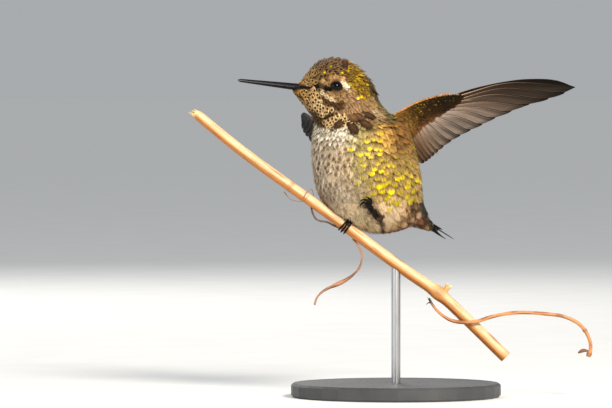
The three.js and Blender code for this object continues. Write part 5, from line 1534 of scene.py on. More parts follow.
# ---------------------------------------------------------------------- eyes
for name, side, e in (("eye_left", 1, EYE_L), ("eye_right", -1, EYE_R)):
    ax, x, y = eye_frame(side, e)
    nu, nv = 56, 40
    th = np.linspace(0, 2 * np.pi, nu, endpoint=False)
    ph = np.linspace(0, np.pi, nv + 1)
    P_, T_ = np.meshgrid(ph, th, indexing="ij")
    # cornea stands a little out of the ball
    rad = EYE_RADIUS * (1 + 0.035 * np.exp(-(P_ / 0.55) ** 2))
    v = e + (rad * np.sin(P_) * np.cos(T_))[..., None] * x + (rad * np.sin(P_) * np.sin(T_))[..., None] * y + (rad * np.cos(P_))[..., None] * ax
    i = np.arange(nv)[:, None] * nu
    j = np.arange(nu)[None]
    j2 = (j + 1) % nu
    q = np.stack([i + j, i + nu + j, i + nu + j2, i + j2], -1).reshape(-1, 4)
    vv = v.reshape(-1, 3)
    ang = P_.ravel()
    iris = bump(ang, 0.62, 0.16)[:, None]
    col = lin(np.array([4.0, 3.5, 3.5]) + iris * np.array([14.0, 7, 3]) * (0.6 + 0.4 * np.cos(T_.ravel() * 37)[:, None] ** 2))
    uvq = np.stack([T_.ravel() / (2 * np.pi), ang / np.pi], -1)
    if np.einsum("ij,ij->i", np.cross(vv[q[:, 1]] - vv[q[:, 0]], vv[q[:, 2]] - vv[q[:, 0]]), vv[q].mean(1) - e).sum() < 0:
        q = q[:, ::-1]
    # merge the poles' doubled points by leaving out flat faces
    qa = q[nu:-nu]
    v_top, v_bot = e + ax * EYE_RADIUS * 1.035, e - ax * EYE_RADIUS
    n0 = len(vv)
    vv = np.concatenate([vv, [v_top, v_bot]])
    jj = np.arange(nu)
    fan0 = np.stack([np.full(nu, n0), nu + jj, nu + (jj + 1) % nu], -1)
    o = (nv - 1) * nu
    fan1 = np.stack([np.full(nu, n0 + 1), o + (jj + 1) % nu, o + jj], -1)
    if np.einsum("ij,ij->i", np.cross(vv[fan0[:, 1]] - vv[fan0[:, 0]], vv[fan0[:, 2]] - vv[fan0[:, 0]]), vv[fan0].mean(1) - e).sum() < 0:
        fan0, fan1 = fan0[:, ::-1], fan1[:, ::-1]
    used = np.ones(len(vv), bool)
    used[:nu] = False
    used[nv * nu:(nv + 1) * nu] = False
    new = np.cumsum(used) - 1
    col = np.concatenate([col, lin(np.array([[9.0, 8, 8], [9, 8, 8]]))])
    ob = make(name + "_fine", vv[used], [new[qa], new[np.concatenate([fan0, fan1])]], EYE, "eye", colors=col[used])
    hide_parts(name)

# ---------------------------------------------------------------------- bill
BILL_TIP_F, BILL_ROOT_F = 29.7, 6.2


def bill_size(f):
    t = np.clip((BILL_TIP_F - f) / 18.3, 0, 1.35)
    e = np.sqrt(np.clip(t / 0.05, 0.02, 1))
    return mix(0.34, 1.05, t ** 1.15) * e, mix(0.375, 0.975, t ** 0.9) * e


for name, up in (("bill_upper", True), ("bill_lower", False)):
    rings, sides = 110, 20
    t = np.linspace(0, 1, rings + 1) ** 1.25
    f = BILL_TIP_F + (BILL_ROOT_F - BILL_TIP_F) * t
    w, hgt = bill_size(f)
    a = np.linspace(0, np.pi, sides + 1)
    verts, col = [], []
    for k in range(rings + 1):
        c = np.cos(a) * w[k]
        ridge = 1 + 0.05 * bump(a, np.pi / 2, 0.3)
        groove = 1 - 0.10 * smooth(18, 12.5, f[k]) * (bump(a, 0.62, 0.16) + bump(a, np.pi - 0.62, 0.16)) if up else 1
        s = np.sin(a) * hgt[k] * ridge * groove
        low = -1.22 + (0.045 + s if up else -0.045 - s * 0.92)
        verts.append(HEAD_CENTRE + f[k] * headF + (c * (groove if up else 1))[:, None] * headL + np.asarray(low)[:, None] * headU)
    v = np.concatenate(verts)
    m_ = sides + 1
    i = np.arange(rings)[:, None] * m_
    j = np.arange(m_)[None]
    j2 = (j + 1) % m_
    q = np.stack([i + j, i + j2, i + m_ + j2, i + m_ + j], -1).reshape(-1, 4)
    n0 = len(v)
    v = np.concatenate([v, v[:m_].mean(0, keepdims=True), v[rings * m_:(rings + 1) * m_].mean(0, keepdims=True)])
    jj = np.arange(m_)
    c0 = np.stack([np.full(m_, n0), (jj + 1) % m_, jj], -1)
    o = rings * m_
    c1 = np.stack([np.full(m_, n0 + 1), o + jj, o + (jj + 1) % m_], -1)
    mid = np.repeat(HEAD_CENTRE + 0.5 * (f[:-1] + f[1:])[:, None] * headF + (-1.22 + (0.4 if up else -0.4)) * headU, m_, 0)
    if np.einsum("ij,ij->i", np.cross(v[q[:, 1]] - v[q[:, 0]], v[q[:, 2]] - v[q[:, 0]]), v[q].mean(1) - mid).sum() < 0:
        q, c0, c1 = q[:, ::-1], c0[:, ::-1], c1[:, ::-1]
    tone = np.array([13.0, 12, 15]) if up else np.array([9.0, 8, 9])
    cc = tone * (0.9 + 0.35 * value_noise(v * [1, 1, 3], 1.4, 5))[:, None]
    ob = make(name + "_fine", v, [q, np.concatenate([c0, c1])], HORN, "bill_horn", colors=lin(cc))
    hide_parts(name)
# --------------------------------------------------------------------- wings
WING_STRETCH, CAMBER = 1.03, 1.6
PRIMARIES, SECONDARIES = 10, 6
FLIGHT = PRIMARIES + SECONDARIES
armEdge = Curve([[-1.50, -1.05], [-0.03, -0.19], [2.02, 0.80], [4.39, 2.00], [7.32, 3.57], [10.28, 4.86], [13.24, 5.74], [16.22, 6.37], [18.31, 6.60], [21.76, 6.65]])
# where the under coverts end, from the body out to the hand
rootLine = Curve([[6.55, -6.80], [7.80, -5.66], [8.89, -4.23], [10.23, -2.66], [12.15, -0.94], [14.66, 0.54], [17.04, 1.69], [19.40, 3.06], [21.13, 4.50], [21.88, 5.94]])
# quills in the wing's plane, root, middle and tip: inner edge of the wing, six
# secondaries, ten primaries, leading edge
QUILLS = [
    [(6.36, -4.51), (7.46, -8.81), (10.43, -13.53)],
    [(7.56, -3.94), (8.99, -8.53), (11.47, -13.05)],
    [(8.16, -3.23), (9.92, -7.96), (12.51, -12.43)],
    [(8.75, -2.66), (10.68, -7.53), (13.40, -11.74)],
    [(9.33, -2.08), (11.58, -6.96), (14.38, -10.92)],
    [(9.92, -1.60), (12.62, -6.25), (15.52, -9.92)],
    [(10.65, -1.08), (13.83, -5.39), (16.98, -8.77)],
    [(11.54, -0.57), (15.34, -4.10), (19.07, -7.18)],
    [(12.43, -0.08), (17.15, -2.67), (21.78, -5.63)],
    [(13.46, 0.43), (19.26, -1.24), (24.78, -4.12)],
    [(14.65, 0.98), (21.53, 0.25), (28.23, -2.55)],
    [(15.83, 1.55), (23.95, 1.59), (32.03, -0.72)],
    [(17.01, 2.21), (26.67, 2.91), (36.71, 1.12)],
    [(18.19, 2.92), (29.39, 4.35), (42.27, 3.24)],
    [(19.35, 3.78), (32.38, 6.47), (48.06, 4.79)],
    [(20.34, 4.64), (34.99, 8.26), (53.47, 6.58)],
    [(21.26, 5.94), (36.86, 9.82), (57.57, 8.58)],
    [(20.79, 6.80), (25.20, 8.09), (30.33, 9.24), (34.88, 10.10), (40.37, 10.83), (45.28, 11.03), (49.60, 10.89), (52.72, 10.34), (55.84, 9.30), (57.95, 8.6)],
]
QV = np.linspace(0, 1, 65)
QUILL_AT = np.stack([Curve(q)(QV) for q in QUILLS])


def flight_patch(u, v):
    """place in the wing's plane; u from the innermost secondary to the
    leading edge, v from the feathers' roots to their tips"""
    u, v = np.broadcast_arrays(np.asarray(u, float), np.asarray(v, float))
    n = len(QUILLS)
    a = np.clip(u, 0, 1) * (n - 1)
    i = np.clip(a.astype(int), 0, n - 2)
    fa = (a - i)[..., None]
    b = np.clip(v, 0, 1) * (len(QV) - 1)
    j = np.clip(b.astype(int), 0, len(QV) - 2)
    fb = (b - j)[..., None]

    def across(m):
        return QUILL_AT[m, j] * (1 - fb) + QUILL_AT[m, j + 1] * fb

    p0, p1, p2, p3 = across(np.clip(i - 1, 0, n - 1)), across(i), across(i + 1), across(np.clip(i + 2, 0, n - 1))
    soft = 0.5 * (2 * p1 + (p2 - p0) * fa + (2 * p0 - 5 * p1 + 4 * p2 - p3) * fa ** 2 + (3 * p1 - p0 - 3 * p2 + p3) * fa ** 3)
    q = np.where(((i > 0) & (i < n - 2))[..., None], soft, p1 * (1 - fa) + p2 * fa)
    # a little past either end, straight on
    over = (v - np.clip(v, 0, 1))[..., None]
    span = (QUILL_AT[i, -1] - QUILL_AT[i, -8]) / (QV[-1] - QV[-8])
    base = (QUILL_AT[i, 7] - QUILL_AT[i, 0]) / (QV[7] - QV[0])
    side = (u - np.clip(u, 0, 1))[..., None] * (n - 1) * 1.2 * np.array([0.85, 0.5])
    return q + np.where(over > 0, span, base) * over + side


LEAD = np.array([[-6.0, -4.0], [-1.5, -1.05], [2.02, 0.80], [7.32, 3.57], [13.24, 5.74], [18.31, 6.60], [25.39, 8.09], [35.38, 10.10], [45.86, 11.03], [53.08, 10.34], [57.9, 8.62], [62.0, 7.0]])
TRAIL = np.array([[-6.0, -9.0], [0.0, -9.0], [6.0, -11.5], [10.4, -13.5], [14.4, -10.9], [19.1, -7.2], [28.2, -2.6], [36.7, 1.1], [48.1, 4.8], [57.9, 8.2], [62.0, 6.5]])


def camber(q):
    lead = np.interp(q[..., 0], LEAD[:, 0], LEAD[:, 1])
    trail = np.interp(q[..., 0], TRAIL[:, 0], TRAIL[:, 1])
    c = np.clip((lead - q[..., 1]) / np.maximum(lead - trail, 0.8), 0, 1)
    return CAMBER * np.minimum(1, np.maximum(lead - trail, 0) / 7.0) * np.sin(np.pi * c ** 0.8)


class Wing:
    def __init__(self, origin, azimuth, dihedral, twist, mirror):
        out = np.array([math.cos(azimuth), math.sin(azimuth), 0])
        s = out * math.cos(dihedral) + UP * math.sin(dihedral)
        t = -out * math.sin(dihedral) + UP * math.cos(dihedral)
        b = np.cross(s, t) * mirror
        self.o, self.s = np.array(origin, float), s
        self.t = t * math.cos(twist) + b * math.sin(twist)
        self.back = b * math.cos(twist) - t * math.sin(twist)

    def at(self, q, off=0.0):
        """point for plane coordinates q, off toward the back"""
        lift = camber(q) + 0.0009 * q[..., 0] ** 2 + off
        return self.o + self.s * (q[..., 0] * WING_STRETCH)[..., None] + self.t * q[..., 1][..., None] + self.back * lift[..., None]

    def way(self, d):
        return unit(self.s * (d[..., 0] * WING_STRETCH)[..., None] + self.t * d[..., 1][..., None])


WINGS = {
    "left": Wing([-3.1, 1.2, 79.9], 18 * DEG, 0, 0, -1),
    "right": Wing([-19.3, 9.6, 74.9], 98.8 * DEG, -6.5 * DEG, -12 * DEG, 1),
}


def sheet(P, N, thick):
    """closed thin sheet over a grid of points (M, C, 3); first the side away
    from N, then the side N points to"""
    M, C = P.shape[:2]
    v = np.concatenate([(P - N * thick[..., None] / 2).reshape(-1, 3), (P + N * thick[..., None] / 2).reshape(-1, 3)])
    i = np.arange(M - 1)[:, None] * C
    j = np.arange(C - 1)[None]
    a, b, c, d = (x.ravel() for x in (i + j, i + j + 1, i + C + j + 1, i + C + j))
    o = M * C
    low = np.stack([a, b, c, d], -1)
    high = np.stack([a, d, c, b], -1) + o
    ring = np.concatenate([np.arange(C - 1), np.arange(M - 1) * C + C - 1, (M - 1) * C + np.arange(C - 1, 0, -1), np.arange(M - 1, 0, -1) * C])
    nxt = np.roll(ring, -1)
    edge = np.stack([nxt, ring, ring + o, nxt + o], -1)
    f = np.concatenate([low, high, edge])
    e1 = np.cross(v[low[:, 1]] - v[low[:, 0]], v[low[:, 3]] - v[low[:, 0]])
    if (e1 * N.reshape(-1, 3)[a]).sum() > 0:
        f = f[:, ::-1]
    return v, f


# colour of each flight feather below, innermost first
UNDER = np.array([[78, 53, 31], [80, 56, 35], [86, 62, 42], [94, 71, 52], [102, 82, 64], [107, 90, 73], [105, 91, 78], [105, 92, 81],
                  [109, 95, 84], [112, 98, 87], [112, 98, 87], [102, 87, 76], [84, 69, 57], [54, 42, 33], [41, 31, 23], [34, 26, 19]], float)


def flight_feathers(w, lo, hi, out, cell):
    """feathers lo to hi of one wing, each a closed thin vane with its shaft"""
    M, C = 44, 17
    n = len(QUILLS) - 1
    for i in range(lo, hi):
        outer = i == FLIGHT - 1
        us = (i + 1) / n
        x = np.linspace(-1, 1, C)
        inner_w = 0.90 if i else 1.0
        outer_w = 1.0 if outer else 0.42
        u = us + np.where(x < 0, x * inner_w, x * outer_w) / n
        fine = rng.random(C)
        reach = 1.004 - 0.028 * np.abs(np.minimum(x, 0)) ** 2.2 - 0.022 * np.maximum(x, 0) ** 2.0 - 0.004 * fine
        if outer:
            reach = 1.0 - 0.012 * np.abs(x) ** 1.5
        vv = -0.03 + (reach[None] + 0.03) * (np.linspace(0, 1, M) ** 0.92)[:, None]
        pinch = mix(0.80, 1.0, smooth(-0.05, 0.24, vv))
        # ends draw in to a rounded tip
        close = 1 - 0.22 * smooth(0.90, 1.01, vv / reach[None])
        uu = us + (u[None] - us) * pinch * close
        q = flight_patch(uu, vv)
        tilt = 0.20 * x[None] * np.ones_like(vv) + (0.05 * (1 - x[None] ** 2))
        wave = 0.03 * np.sin(vv * 9 + i * 2.1)
        P = w.at(q, tilt + wave)
        N = np.broadcast_to(w.back, P.shape)
        th = np.full(vv.shape, 0.05) + 0.05 * bump(x, 0, 0.10)[None] * (1 - 0.7 * vv)
        v, f = sheet(P, N, th)
        k = i / (FLIGHT - 1)
        mid = bump(k, 0.45, 0.42)
        # the right wing's undersides are darkened to about a third: painted shade on the wing turned away from the
        # light
        c = np.tile(UNDER[i] * (0.95 + 0.10 * rng.random()) * (0.95 if w is WINGS["left"] else 0.34), (M, C, 1))
        # long soft streaks along the barbs' roots, paler toward the quill end
        streak = value_noise(np.stack([np.broadcast_to(x[None] * 4.2, vv.shape), vv * 1.6, np.full(vv.shape, i * 3.1)], -1).reshape(-1, 3), 1.0).reshape(vv.shape)
        c = c * (1 + 0.34 * (streak - 0.5))[..., None]
        pale = mid * smooth(0.62, 0.10, vv) * bump(x, -0.30, 0.42)[None]
        c = c + (np.array([208.0, 184, 166]) - c) * (0.50 * pale)[..., None]
        # a dark wedge by the quill that widens to the tip
        wedge = smooth(-0.62, -0.05, x)[None] * smooth(0.30, 0.95, vv)
        c = c * (1 - mix(0.58, 0.34, k) * wedge)[..., None]
        c = c * (1 - 0.34 * smooth(0.88, 1.0, vv / reach[None]))[..., None]
        # the leading vane darker: painted shade where the neighbouring feather's edge overlaps it
        c = c * (1 - 0.30 * smooth(0.0, 0.30, x)[None] * np.ones_like(vv))[..., None]
        rim = smooth(-0.84, -1.0, x)[None, :, None] * smooth(0.1, 0.4, vv)[..., None]
        c = c + (np.array([186.0, 166, 148]) * mix(1.0, 0.66, k) - c) * 0.34 * rim
        if outer:
            c = lay(c.reshape(-1, 3), (smooth(0.86, 0.97, x)[None] * mix(0.8, 0.15, smooth(0.2, 0.6, vv))).ravel(), [176, 150, 124]).reshape(c.shape)
        above = np.array([80.0, 66, 60]) * mix(1.0, 0.86, k)
        c_up = np.tile(above, (M, C, 1)) * mix(1.08, 0.92, smooth(0, 1, vv))[..., None] * mix(1.0, 0.9, smooth(0, -1, x))[None, :, None]
        c_up = c_up + (np.array([128.0, 110, 96]) - c_up) * 0.25 * smooth(0.88, 1.0, x)[None, :, None]
        cols = np.concatenate([c.reshape(-1, 3), c_up.reshape(-1, 3)])
        length = np.linalg.norm(P[-1, C // 2] - P[0, C // 2])
        lx = (vv * length + np.abs(x)[None] * 1.6)
        ly = x[None] * 2.0 * np.ones_like(vv)
        layv = np.stack([lx, ly, np.full_like(lx, i * 3.7)], -1).reshape(-1, 3)
        uvc = np.stack([np.broadcast_to(cell[0] + (i - lo + 0.5 + 0.42 * x[None]) / (hi - lo) * cell[1], vv.shape),
                        0.02 + 0.46 * np.broadcast_to(np.linspace(0, 1, M)[:, None], vv.shape)], -1)
        uvu = uvc + [0, 0.49]
        out.add(v, [f], lin(cols), uv=np.concatenate([uvc.reshape(-1, 2), uvu.reshape(-1, 2)]),
                lx=np.tile(layv[:, 0], 2), ly=np.tile(layv[:, 1], 2), lz=np.tile(layv[:, 2], 2))
        # shaft, a fine tapering rod standing on the underside and upper side
        vs = np.linspace(-0.03, 0.97, 26)
        qs = flight_patch(np.full(26, us), vs)
        pale0 = mix(np.array([196.0, 160, 128]), np.array([236.0, 202, 180]), mid)
        pale1 = UNDER[i] * 0.9
        for sgn, tone0, tone1 in ((-1, pale0, pale1), (1, np.array([92.0, 74, 62]), np.array([58.0, 46, 42]))):
            pc = w.at(qs, 0.05 + sgn * 0.045)
            tv, tf, ta = tube(Curve(pc), lambda s: mix(0.17, 0.045, s ** 0.8), 24, 5)
            tc = mix(tone0, tone1, ta[:, :1] ** 0.7)
            uvt = np.stack([cell[0] + (i - lo + 0.5 + 0.02 * np.cos(ta[:, 1])) / (hi - lo) * cell[1], 0.02 + 0.46 * ta[:, 0] + (0.49 if sgn > 0 else 0)], -1)
            out.add(tv, tf, lin(tc), uv=uvt, lx=ta[:, 0] * 30, ly=ta[:, 1], lz=np.full(len(tv), i * 3.7))


def as_lay(j):
    """gathers lx, ly, lz into the lay vector"""
    x = {k: np.concatenate(v) for k, v in j.x.items()}
    vec = np.stack([x.pop("lx"), x.pop("ly"), x.pop("lz")], -1)
    return x, vec


def make_lay(j, name, material, slot, **kw):
    x, vec = as_lay(j)
    uv = spread(np.concatenate(j.uv)) if j.uv else None
    return make(name, np.concatenate(j.v), [np.concatenate(v) for v in j.f.values()], material, slot,
                colors=np.concatenate(j.c), floats=x, vectors={"lay": vec}, uv=uv, **kw)


# arm and hand: a lens-shaped core with rows of coverts on both sides
def arm_q(u, w):
    A, B = armEdge(mix(0.17, 1, u)), rootLine(mix(0.05, 1, np.clip(u, 0, 1) ** 0.8))
    return A + (B - A) * w[..., None]


def arm_half(u, w):
    full = mix(3.2, 0.9, np.clip(u, 0, 1) ** 0.7) * np.sqrt(np.clip(1 - (2 * np.clip(w / 0.965, 0, 1) - 1) ** 2, 0, 1)) + 0.62
    return 0.5 * full * (1 - smooth(0.95, 1.3, w)) + 0.12 * smooth(0.95, 1.3, w)


def covert_rows(side_sign):
    """u, w, length, half width, kind of every covert of one face"""
    below = ((0.0, 64, 0.34, 0.30, 0), (0.045, 46, 1.0, 0.42, 1), (0.14, 42, 1.2, 0.46, 1), (0.24, 40, 1.3, 0.50, 1), (0.34, 36, 1.45, 0.54, 1),
             (0.45, 32, 1.6, 0.60, 1), (0.56, 28, 1.8, 0.68, 2), (0.67, 26, 2.0, 0.76, 2), (0.78, 24, 2.2, 0.84, 2), (0.88, 22, 2.5, 0.95, 3))
    above = ((0.0, 46, 0.9, 0.42, 0), (0.05, 36, 1.6, 0.56, 1), (0.18, 32, 1.9, 0.64, 1), (0.32, 28, 2.2, 0.72, 1), (0.46, 25, 2.6, 0.84, 2),
             (0.62, 22, 3.2, 0.96, 2), (0.80, 20, 4.2, 1.1, 3), (1.0, 19, 6.0, 1.3, 3), (1.2, 18, 9.0, 1.5, 3))
    rows = []
    for w0, n, L, hw, kind in below if side_sign < 0 else above:
        u = (np.arange(n) + 0.5 + 0.3 * (rng.random(n) - 0.5)) / n
        rows.append(np.stack([u, np.full(n, w0) + (0.02 if kind else 0.004) * rng.normal(0, 1, n), np.full(n, L) * rng.uniform(0.9, 1.12, n) * mix(0.85, 1.1, bump(u, 0.4, 0.5)), np.full(n, hw) * mix(0.9, 1.05, rng.random(n)), np.full(n, kind)], -1))
    return np.concatenate(rows)


def build_coverts(side, out):
    w = WINGS[side]
    for sgn in (-1, 1):
        R = covert_rows(sgn)
        u, w0, L, hw, kind = R.T
        n = len(R)
        q0 = arm_q(u, np.clip(w0, 0, 1))
        # lie along the quills below them, the small ones more across the arm
        uq = np.clip(u, 0.0, 1.0) ** 0.75
        d = unit(flight_patch(uq, 0.30) - flight_patch(uq, 0.0))
        A, B = armEdge(mix(0.17, 1, u)), rootLine(mix(0.05, 1, np.clip(u, 0, 1) ** 0.8))
        across = unit(B - A)
        d = unit(d * mix(0.55, 1.0, smooth(0.1, 0.9, w0))[:, None] + across * mix(0.75, 0.10, smooth(0.1, 0.9, w0))[:, None])
        steps = 4
        s = np.linspace(0, 1, steps + 1)
        q = q0[:, None] + d[:, None] * (L[:, None] * s)[..., None]
        wid = np.linalg.norm(B - A, axis=1)
        wt = w0[:, None] + (L[:, None] * s) * (d * across).sum(-1)[:, None] / wid[:, None]
        offh = arm_half(np.repeat(u[:, None], steps + 1, 1), wt)
        off = sgn * (offh - 0.16 + 0.30 * s + 0.05 * (3 - kind[:, None]) * s)
        if sgn > 0:                       # clear of the quills below
            off = np.maximum(off, 0.38 * smooth(0.80, 1.0, wt))
        P = w.at(q, off)
        N = np.broadcast_to(sgn * w.back, P.shape).copy()
        # the surface's own slope
        T = np.gradient(P, axis=1)
        Wy = unit(T)
        N = unit(N - Wy * (N * Wy).sum(-1, keepdims=True))
        rnd_ = rng.random(n)
        if sgn < 0:
            near = np.array([[136.0, 94, 36]])
            base = mix(near, np.array([[60.0, 38, 10]]), smooth(0.08, 0.30, u)[:, None])
            base = mix(base, np.array([[36.0, 22, 6]]), smooth(0.30, 0.70, u)[:, None])
            base = mix(base, np.array([[112.0, 70, 34]]), (smooth(0.62, 0.92, w0) * smooth(0.62, 0.30, u))[:, None])
            base = np.where(kind[:, None] == 1, base * 0.92, base)
            base = np.where(kind[:, None] == 3, base * 1.05 + 6, base)
            base = np.where(kind[:, None] == 0, np.array([[226.0, 158, 96]]), base)
            base = np.where((kind[:, None] == 0) & (u[:, None] > 0.84), [214.0, 190, 164], base)
            disc = base * np.where(kind[:, None] == 0, 0.85, 0.52)
            shine = np.where(kind == 1, 0.62, np.where(kind == 2, 0.16, 0.0)) * smooth(0.04, 0.2, u) * mix(1.0, 0.12, smooth(0.35, 0.80, u))
        else:
            base = np.array([[120.0, 104, 58], [116, 104, 52], [112, 100, 54], [104, 92, 60]])[kind.astype(int)]
            disc = np.array([[64.0, 66, 26], [60, 70, 24], [58, 66, 26], [56, 60, 34]])[kind.astype(int)]
            shine = np.array([0.35, 0.6, 0.6, 0.35])[kind.astype(int)]
        gl = (rng.random(n) < shine) * (0.5 + 0.5 * rnd_)
        gcol = np.where(sgn < 0, 0.68, 0.8) * np.array([184.0, 148, 20]) * (0.7 + 0.5 * rnd_)[:, None]
        # random tone per covert; the under coverts of the right wing are darkened too, painted shade on the wing turned
        # away from the light
        shade = (1 + rng.normal(0, 0.08, n)) * (0.48 if side == "right" and sgn < 0 else 1.0)

        def look(T_, U_, K_, E_):
            r = np.sqrt(((T_ - 0.70) / 0.26) ** 2 + (U_ / 0.72) ** 2)
            w_ = 0.85 * smooth(1.25, 0.65, r)
            c = base[K_] * mix(0.7, 1.0, smooth(0.1, 0.6, T_))[:, None]
            c = c + (disc[K_] - c) * w_[:, None]
            g = smooth(1.1, 0.7, np.sqrt(((T_ - 0.80) / 0.13) ** 2 + (U_ / 0.48) ** 2)) * gl[K_]
            c = c + (gcol[K_] - c) * g[:, None]
            return c * shade[K_][:, None], g

        V, qd, tr, c, g, U, T_, K = vanes(P, N, Wy, hw, 13, look, jag=0.08, cup=0.12, lift=0.02)
        base_uv = np.stack([0.05 + 0.9 * u, 0.05 + 0.4 * np.clip(w0, 0, 1) + (0.5 if sgn > 0 else 0)], -1)
        out.add(V, [qd, tr], lin(c), uv=patch_uv(base_uv, U, T_, K, 0.012), gloss=g)
    # core
    nu, nw = 30, 14
    uu, ww = np.meshgrid(np.linspace(0, 1, nu), np.linspace(0, 0.965, nw), indexing="ij")
    q = arm_q(uu.ravel(), ww.ravel()).reshape(nu, nw, 2)
    P = w.at(q)
    th = 2 * arm_half(uu, ww) - 0.30
    N = np.broadcast_to(w.back, P.shape)
    v, f = sheet(P, N, np.maximum(th, 0.2))
    nn = nu * nw
    tone = np.concatenate([np.tile([76.0, 52, 24], (nn, 1)), np.tile([72.0, 66, 36], (nn, 1))])
    lead = np.tile(smooth(0.025, 0.0, ww.ravel()), 2)
    tone[:nn] = lay(tone[:nn], lead[:nn], [226, 170, 108])
    uvc = np.stack([0.05 + 0.9 * uu.ravel(), 0.05 + 0.4 * ww.ravel()], -1)
    out.add(v, [f], lin(tone * (0.9 + 0.2 * rng.random((len(v), 1)))), uv=np.concatenate([uvc, uvc + [0, 0.5]]), gloss=np.zeros(len(v)))


for side in ("left", "right"):
    w = WINGS[side]
    for part, lo, hi in (("secondaries", 0, SECONDARIES), ("primaries", SECONDARIES, FLIGHT)):
        j = Joined()
        flight_feathers(w, lo, hi, j, (0.02, 0.96))
        ob = make_lay(j, f"wing_{side}_{part}_vanes", VANE, "flight_feathers")
        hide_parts(f"wing_{side}_{part}")
    j = Joined()
    build_coverts(side, j)
    uv_all = spread(np.concatenate(j.uv))
    j.uv = [uv_all]
    ob = j.make(f"wing_{side}_coverts", COAT, "plumage_wing")
    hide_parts(f"wing_{side}_arm")

# ---------------------------------------------------------------------- tail
TAIL_BASE = np.array([2.2, 15.0, 52.6])
TAIL_DIR = unit([math.sin(BODY_YAW) * math.cos(22 * DEG), math.cos(BODY_YAW) * math.cos(22 * DEG), -math.sin(22 * DEG)])
TAIL_ROLL = 12 * DEG
side0 = unit(np.cross(UP, TAIL_DIR))
up0 = np.cross(TAIL_DIR, side0)
TAIL_SIDE = side0 * math.cos(TAIL_ROLL) + up0 * math.sin(TAIL_ROLL)
TAIL_UP = np.cross(TAIL_DIR, TAIL_SIDE)
tailj = Joined()
RECT = 10
for k in range(RECT):
    a = -1 + 2 * (k + 0.5) / RECT
    M, C = 34, 13
    x = np.linspace(-1, 1, C)
    L = 22.1 * (1 - 0.06 * (1 - a * a)) * (1 - 0.01 * rng.random()) * (1, 0.985, 0.95, 0.93, 0.86, 0.86, 0.87, 0.88, 0.89, 0.9)[k]
    s = np.linspace(0, 1, M) ** 0.9
    width = mix(1.0, 2.0, smooth(0.05, 0.5, s)) * (1 - (0.80 if k < 4 else 0.12) * smooth(0.45 if k < 4 else 0.85, 1, s))
    reach = 1 - 0.13 * np.abs(x) ** 2.6 - 0.008 * rng.random(C)
    d = s[:, None] * reach[None] * L
    cx = a * mix(1.2, 3.1, s[:, None] ** 0.9) + x[None] * width[:, None]
    order = abs(k - 4.5)
    droop_ = (0, 0.1, 1.5, 1.6, 0, 0, 0, 0, 0, 0)[k]
    rise = 0.75 - 0.9 * (cx / 4.8) ** 2 + (4.5 - order) * 0.16 + 0.10 * x[None] * np.sign(a) - droop_ * smooth(0.4, 1.0, s)[:, None]
    P = TAIL_BASE + d[..., None] * TAIL_DIR + cx[..., None] * TAIL_SIDE + rise[..., None] * TAIL_UP
    N = np.broadcast_to(TAIL_UP, P.shape)
    v, f = sheet(P, N, np.full(d.shape, 0.06) + 0.06 * bump(x, 0, 0.12)[None])
    outerness = smooth(0.3, 0.9, abs(a))
    low = np.tile(mix(np.array([44.0, 46, 54]), np.array([40.0, 42, 50]), outerness), (M, C, 1))
    tipw = smooth(0.84, 0.93, s)[:, None, None] * outerness
    if k < 4:
        tipw = tipw * 0.0
    low = low + (np.array([178.0, 172, 168]) - low) * 0.25 * tipw
    low = low + (np.array([132.0, 76, 34]) - low) * (0.8 * smooth(0.45, 0.75, s)[:, None, None] * (k > 4))
    edge = smooth(0.82, 1.0, np.abs(x))[None, :, None]
    low = low + (np.array([110.0, 100, 96]) - low) * 0.25 * edge
    upc = np.tile(mix(np.array([44.0, 62, 44]), np.array([38.0, 40, 48]), outerness), (M, C, 1))
    cols = np.concatenate([low.reshape(-1, 3), upc.reshape(-1, 3)])
    lx = (s[:, None] * L + np.abs(x)[None] * 1.5) * np.ones((M, C))
    ly = x[None] * 2 * np.ones((M, C))
    uvc = np.stack([(k + 0.5 + 0.42 * x[None]) / RECT * np.ones((M, C)), 0.02 + 0.46 * np.broadcast_to(s[:, None], (M, C))], -1)
    tailj.add(v, [f], lin(cols), uv=np.concatenate([uvc.reshape(-1, 2), (uvc + [0, 0.49]).reshape(-1, 2)]),
              lx=np.tile(lx.ravel(), 2), ly=np.tile(ly.ravel(), 2), lz=np.full(len(v), k * 3.3))
    for sgn in (-1, 1):
        ss = np.linspace(0, 0.96, 20)
        cc = a * mix(1.2, 3.1, ss ** 0.9)
        rr_ = 0.75 - 0.9 * (cc / 4.8) ** 2 + (4.5 - order) * 0.16 + sgn * 0.05 - droop_ * smooth(0.4, 1.0, ss)
        pc = TAIL_BASE + (ss * L)[:, None] * TAIL_DIR + cc[:, None] * TAIL_SIDE + rr_[:, None] * TAIL_UP
        tv, tf, ta = tube(Curve(pc), lambda q_: mix(0.16, 0.05, q_), 18, 5)
        uvt = np.stack([(k + 0.5 + 0.02 * np.cos(ta[:, 1])) / RECT, 0.02 + 0.46 * ta[:, 0] + (0.49 if sgn > 0 else 0)], -1)
        tailj.add(tv, tf, lin(mix(np.array([70.0, 60, 56]), np.array([36.0, 34, 36]), ta[:, :1])), uv=uvt, lx=ta[:, 0] * 20, ly=ta[:, 1], lz=np.full(len(tv), k * 3.3))
ob = make_lay(tailj, "tail_vanes", TAILM, "tail_feathers")
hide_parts("tail")
# --------------------------------------------------------------------- perch
STEM = Curve([[-57.6, 0, 81.3], [-44.6, 0, 70.7], [-31.4, 0, 61.0], [-19.1, 0, 52.3], [-6.2, 0, 42.6], [3.9, 0, 35.3], [12.6, 0, 29.3], [21.1, 0, 21.4], [29.5, 0, 13.2], [31.4, 0, 11.4]])
KNOT = 0.765


def stem_radius(t):
    return mix(1.45, 1.7, t) + 0.45 * bump(t, KNOT, 0.018) - 0.3 * np.clip(1 - t / 0.03, 0, 1) ** 2


def stem_at(x):
    lo, hi = 0.0, 1.0
    for _ in range(40):
        m_ = (lo + hi) / 2
        if STEM(m_)[0] < x:
            lo = m_
        else:
            hi = m_
    return lo, STEM(lo), STEM.tangent(lo), stem_radius(lo)


